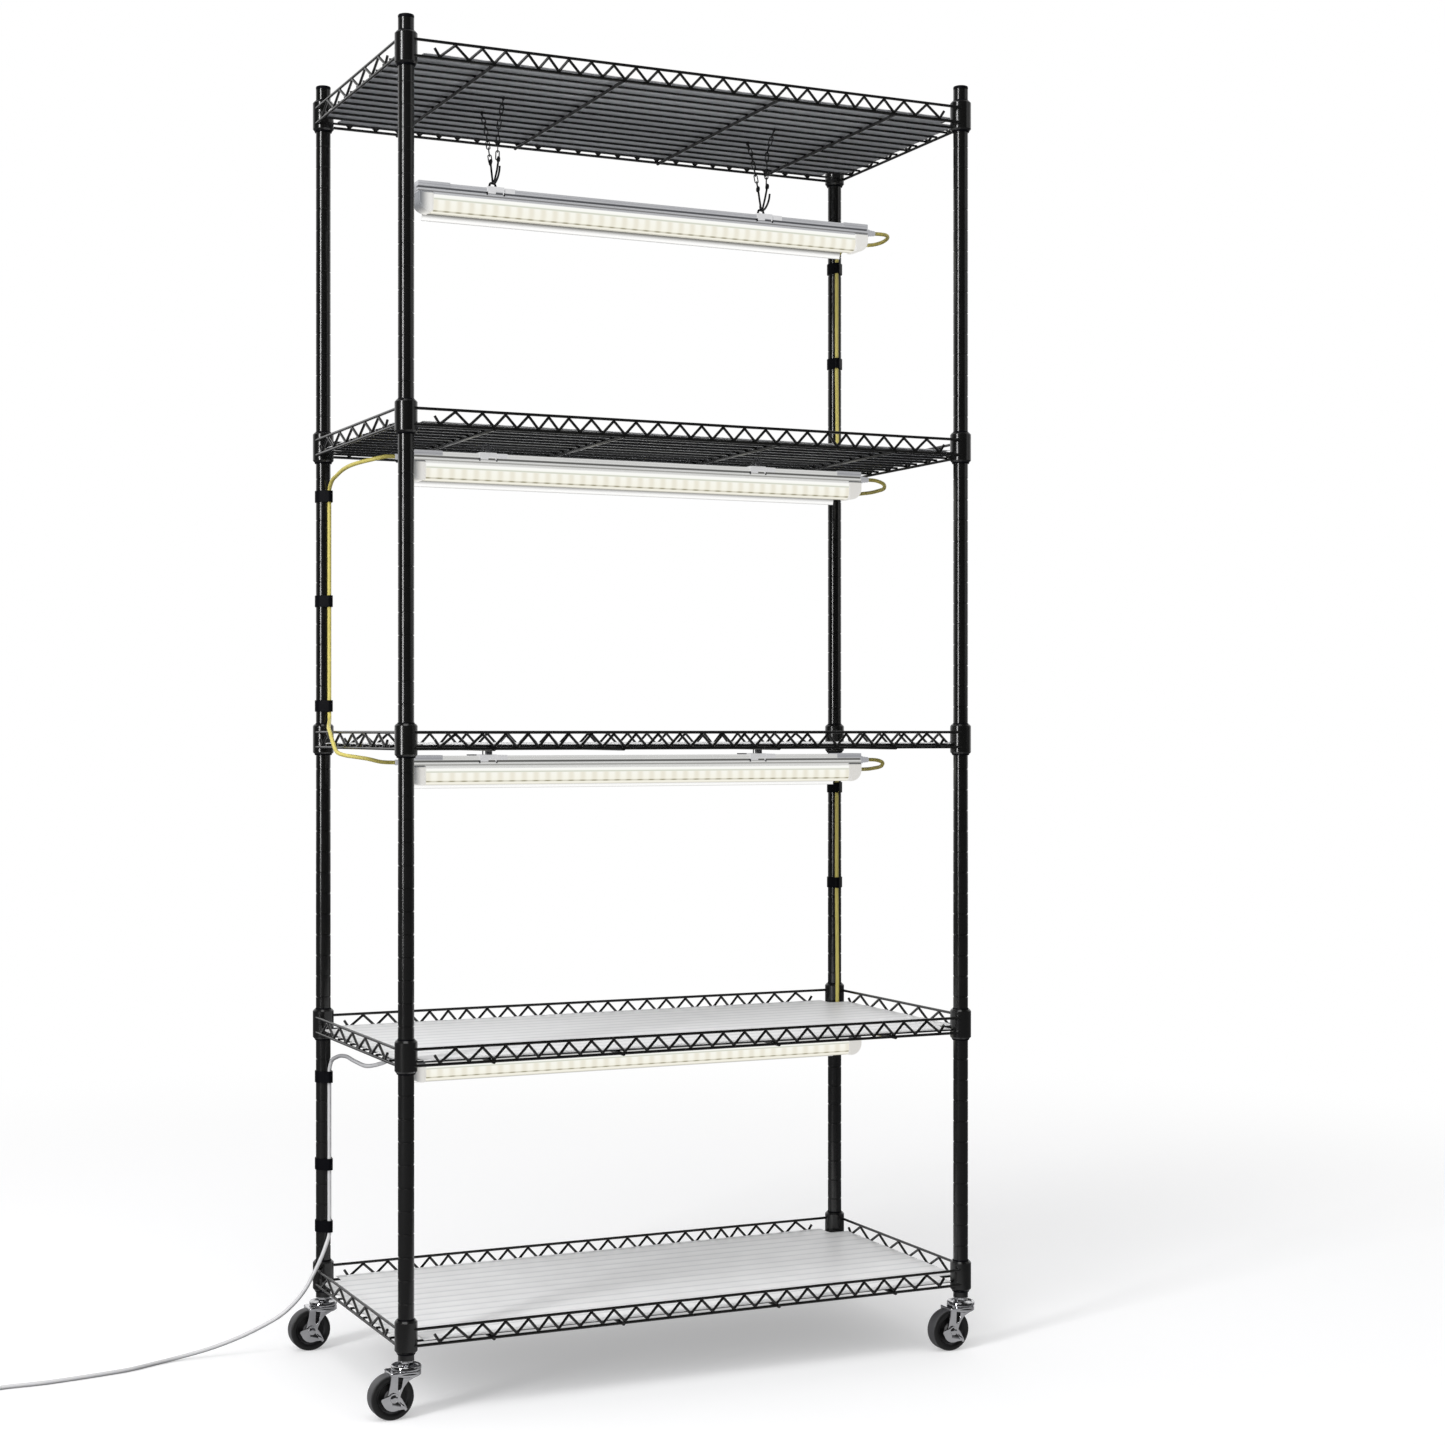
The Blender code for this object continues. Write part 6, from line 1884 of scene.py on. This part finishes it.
@dataclass
class Studio:
    """Floor, lights and camera."""

    camera_from_posts: Point = (-1.18426, -2.64295, 0.7592)
    camera_turn: float = -24.09
    lens: float = 58.77
    shift: Pair = (0.0571, 0.0047)
    sensor: float = 36.0
    floor_size: float = 24.0
    floor_lift: float = 0.34
    floor_colour: str = "#dcdcdd"
    floor_fade: Pair = (0.9, 2.6)
    # The floor as gloss and bounced light see it: darker, and wholly so from a distance on.
    bounce_colour: str = "#68686a"
    gloss_step: Pair = (0.42, 0.68)
    gloss_share: float = 0.6
    world_strength: float = 0.66
    room_strength: float = 0.02
    room_step: Pair = (-0.1, 0.9)
    # Each light's name, place, aim, size and power.
    area_lights: tuple[tuple, ...] = (
        ("top", (-0.9, -1.2, 3.6), (0, 0, 0.6), (1.8, 1.8), 20),
        ("fill", (2.6, -1.8, 1.8), (0, 0, 0.8), (1.6, 2.0), 5),
        ("strip", (-2.75, -1.34, 1.95), (0, 0, 1.3), (0.46, 3.1), 74))

    def build(self, layout: Layout) -> None:
        """Set the whole stage."""
        self.camera(layout)
        self.floor()
        self.world()
        self.lights()
        bpy.context.scene.view_settings.view_transform = "Standard"

    def camera(self, layout: Layout) -> None:
        """Set the camera where the photograph was taken from."""
        data = bpy.data.cameras.new("camera")
        data.lens, data.sensor_width = self.lens, self.sensor
        data.shift_x, data.shift_y = self.shift
        data.clip_end = 100.0
        item = bpy.data.objects.new("camera", data)
        item.location = Vector(self.camera_from_posts) + layout.centre()
        item.rotation_euler = (math.radians(90), 0, math.radians(self.camera_turn))
        bpy.context.scene.collection.objects.link(item)
        bpy.context.scene.camera = item

    def floor(self) -> None:
        """Lay a white floor that keeps the shadows and fades into the background far out."""
        deselect()
        bpy.ops.mesh.primitive_plane_add(size=self.floor_size)
        item = bpy.context.object
        item.name = "floor"
        made = bpy.data.materials.new("studio_floor")
        made.use_nodes = True
        tree = made.node_tree
        tree.nodes.clear()
        place = add_node(tree, "ShaderNodeTexCoord").outputs["Object"]
        away = add_node(tree, "ShaderNodeVectorMath", {"operation": "LENGTH"}, links={0: place})
        fade = soft_step(tree, away.outputs["Value"], *self.floor_fade)
        paper = add_node(tree, "ShaderNodeBsdfDiffuse",
                         values={"Color": linear(self.floor_colour)})
        lift = add_node(tree, "ShaderNodeEmission", values={"Strength": self.floor_lift})
        near = add_node(tree, "ShaderNodeAddShader",
                        links={0: paper.outputs[0], 1: lift.outputs[0]})
        glow = add_node(tree, "ShaderNodeEmission", values={"Strength": 1.0})
        bounced = add_node(tree, "ShaderNodeBsdfDiffuse",
                           values={"Color": linear(self.bounce_colour)})
        path = add_node(tree, "ShaderNodeLightPath")
        seen = add_node(tree, "ShaderNodeMixShader", links={
            0: fade, 1: near.outputs[0], 2: glow.outputs[0]})
        beyond = soft_step(tree, away.outputs["Value"], *self.gloss_step)
        share = math_node(tree, "MAXIMUM", beyond, self.gloss_share)
        dimmed = math_node(tree, "MULTIPLY", path.outputs["Is Glossy Ray"], share)
        dimmed = math_node(tree, "MAXIMUM", dimmed, path.outputs["Is Diffuse Ray"])
        mix = add_node(tree, "ShaderNodeMixShader", links={
            0: dimmed, 1: seen.outputs[0], 2: bounced.outputs[0]})
        add_node(tree, "ShaderNodeOutputMaterial", links={"Surface": mix.outputs[0]})
        item.data.materials.append(made)

    def world(self) -> None:
        """Give even light all round, a white backdrop, and a dim room where gloss looks."""
        made = bpy.data.worlds.new("studio")
        bpy.context.scene.world = made
        made.use_nodes = True
        tree = made.node_tree
        tree.nodes.clear()
        path = add_node(tree, "ShaderNodeLightPath")
        heading = add_node(tree, "ShaderNodeTexCoord").outputs["Generated"]
        turn = math.radians(-self.camera_turn)
        ahead = add_node(tree, "ShaderNodeVectorMath", {"operation": "DOT_PRODUCT"},
                         {1: (math.sin(turn), math.cos(turn), 0.0)}, {0: heading})
        backdrop = add_node(tree, "ShaderNodeMapRange", {"interpolation_type": "SMOOTHSTEP"}, {
            "From Min": self.room_step[0], "From Max": self.room_step[1],
            "To Min": self.room_strength, "To Max": 1.0}, {"Value": ahead.outputs["Value"]})
        fill = add_node(tree, "ShaderNodeBackground", values={"Strength": self.world_strength})
        room = add_node(tree, "ShaderNodeBackground",
                        links={"Strength": backdrop.outputs["Result"]})
        white = add_node(tree, "ShaderNodeBackground")
        soft = add_node(tree, "ShaderNodeMixShader", links={
            0: path.outputs["Is Glossy Ray"], 1: fill.outputs[0], 2: room.outputs[0]})
        clear = add_node(tree, "ShaderNodeMixShader", links={
            0: path.outputs["Is Transmission Ray"], 1: soft.outputs[0], 2: white.outputs[0]})
        mix = add_node(tree, "ShaderNodeMixShader", links={
            0: path.outputs["Is Camera Ray"], 1: clear.outputs[0], 2: white.outputs[0]})
        for node in (fill, room, white):
            node.inputs["Color"].default_value = linear("#ffffff")
        add_node(tree, "ShaderNodeOutputWorld", links={"Surface": mix.outputs[0]})

    def lights(self) -> None:
        """Hang a soft key, a fill and the tall strip that draws the streak on the posts."""
        for name, place, aim, size, power in self.area_lights:
            data = bpy.data.lights.new(name, "AREA")
            data.shape = "RECTANGLE"
            data.size, data.size_y = size
            data.energy = power
            item = bpy.data.objects.new(name, data)
            item.location = place
            item.rotation_euler = (Vector(aim) - Vector(place)).to_track_quat("-Z", "Y").to_euler()
            bpy.context.scene.collection.objects.link(item)


def main() -> None:
    """Dress the whole stand."""
    logging.basicConfig(level=logging.INFO, format="%(message)s")
    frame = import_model()
    layout, shop = Layout(), Workshop()
    Studio().build(layout)
    LinkCables().build(shop, layout)
    MainsCord().build(shop, layout)
    Posts().build(shop, layout)
    CableClips().build(shop, layout)
    Shelves().build(shop, layout)
    Liners().build(shop, layout)
    Casters().build(shop, layout)
    GrowLights().build(shop, layout, frame)
    Hangers().build(shop, layout)
    deselect()


if __name__ == "__main__":
    main()
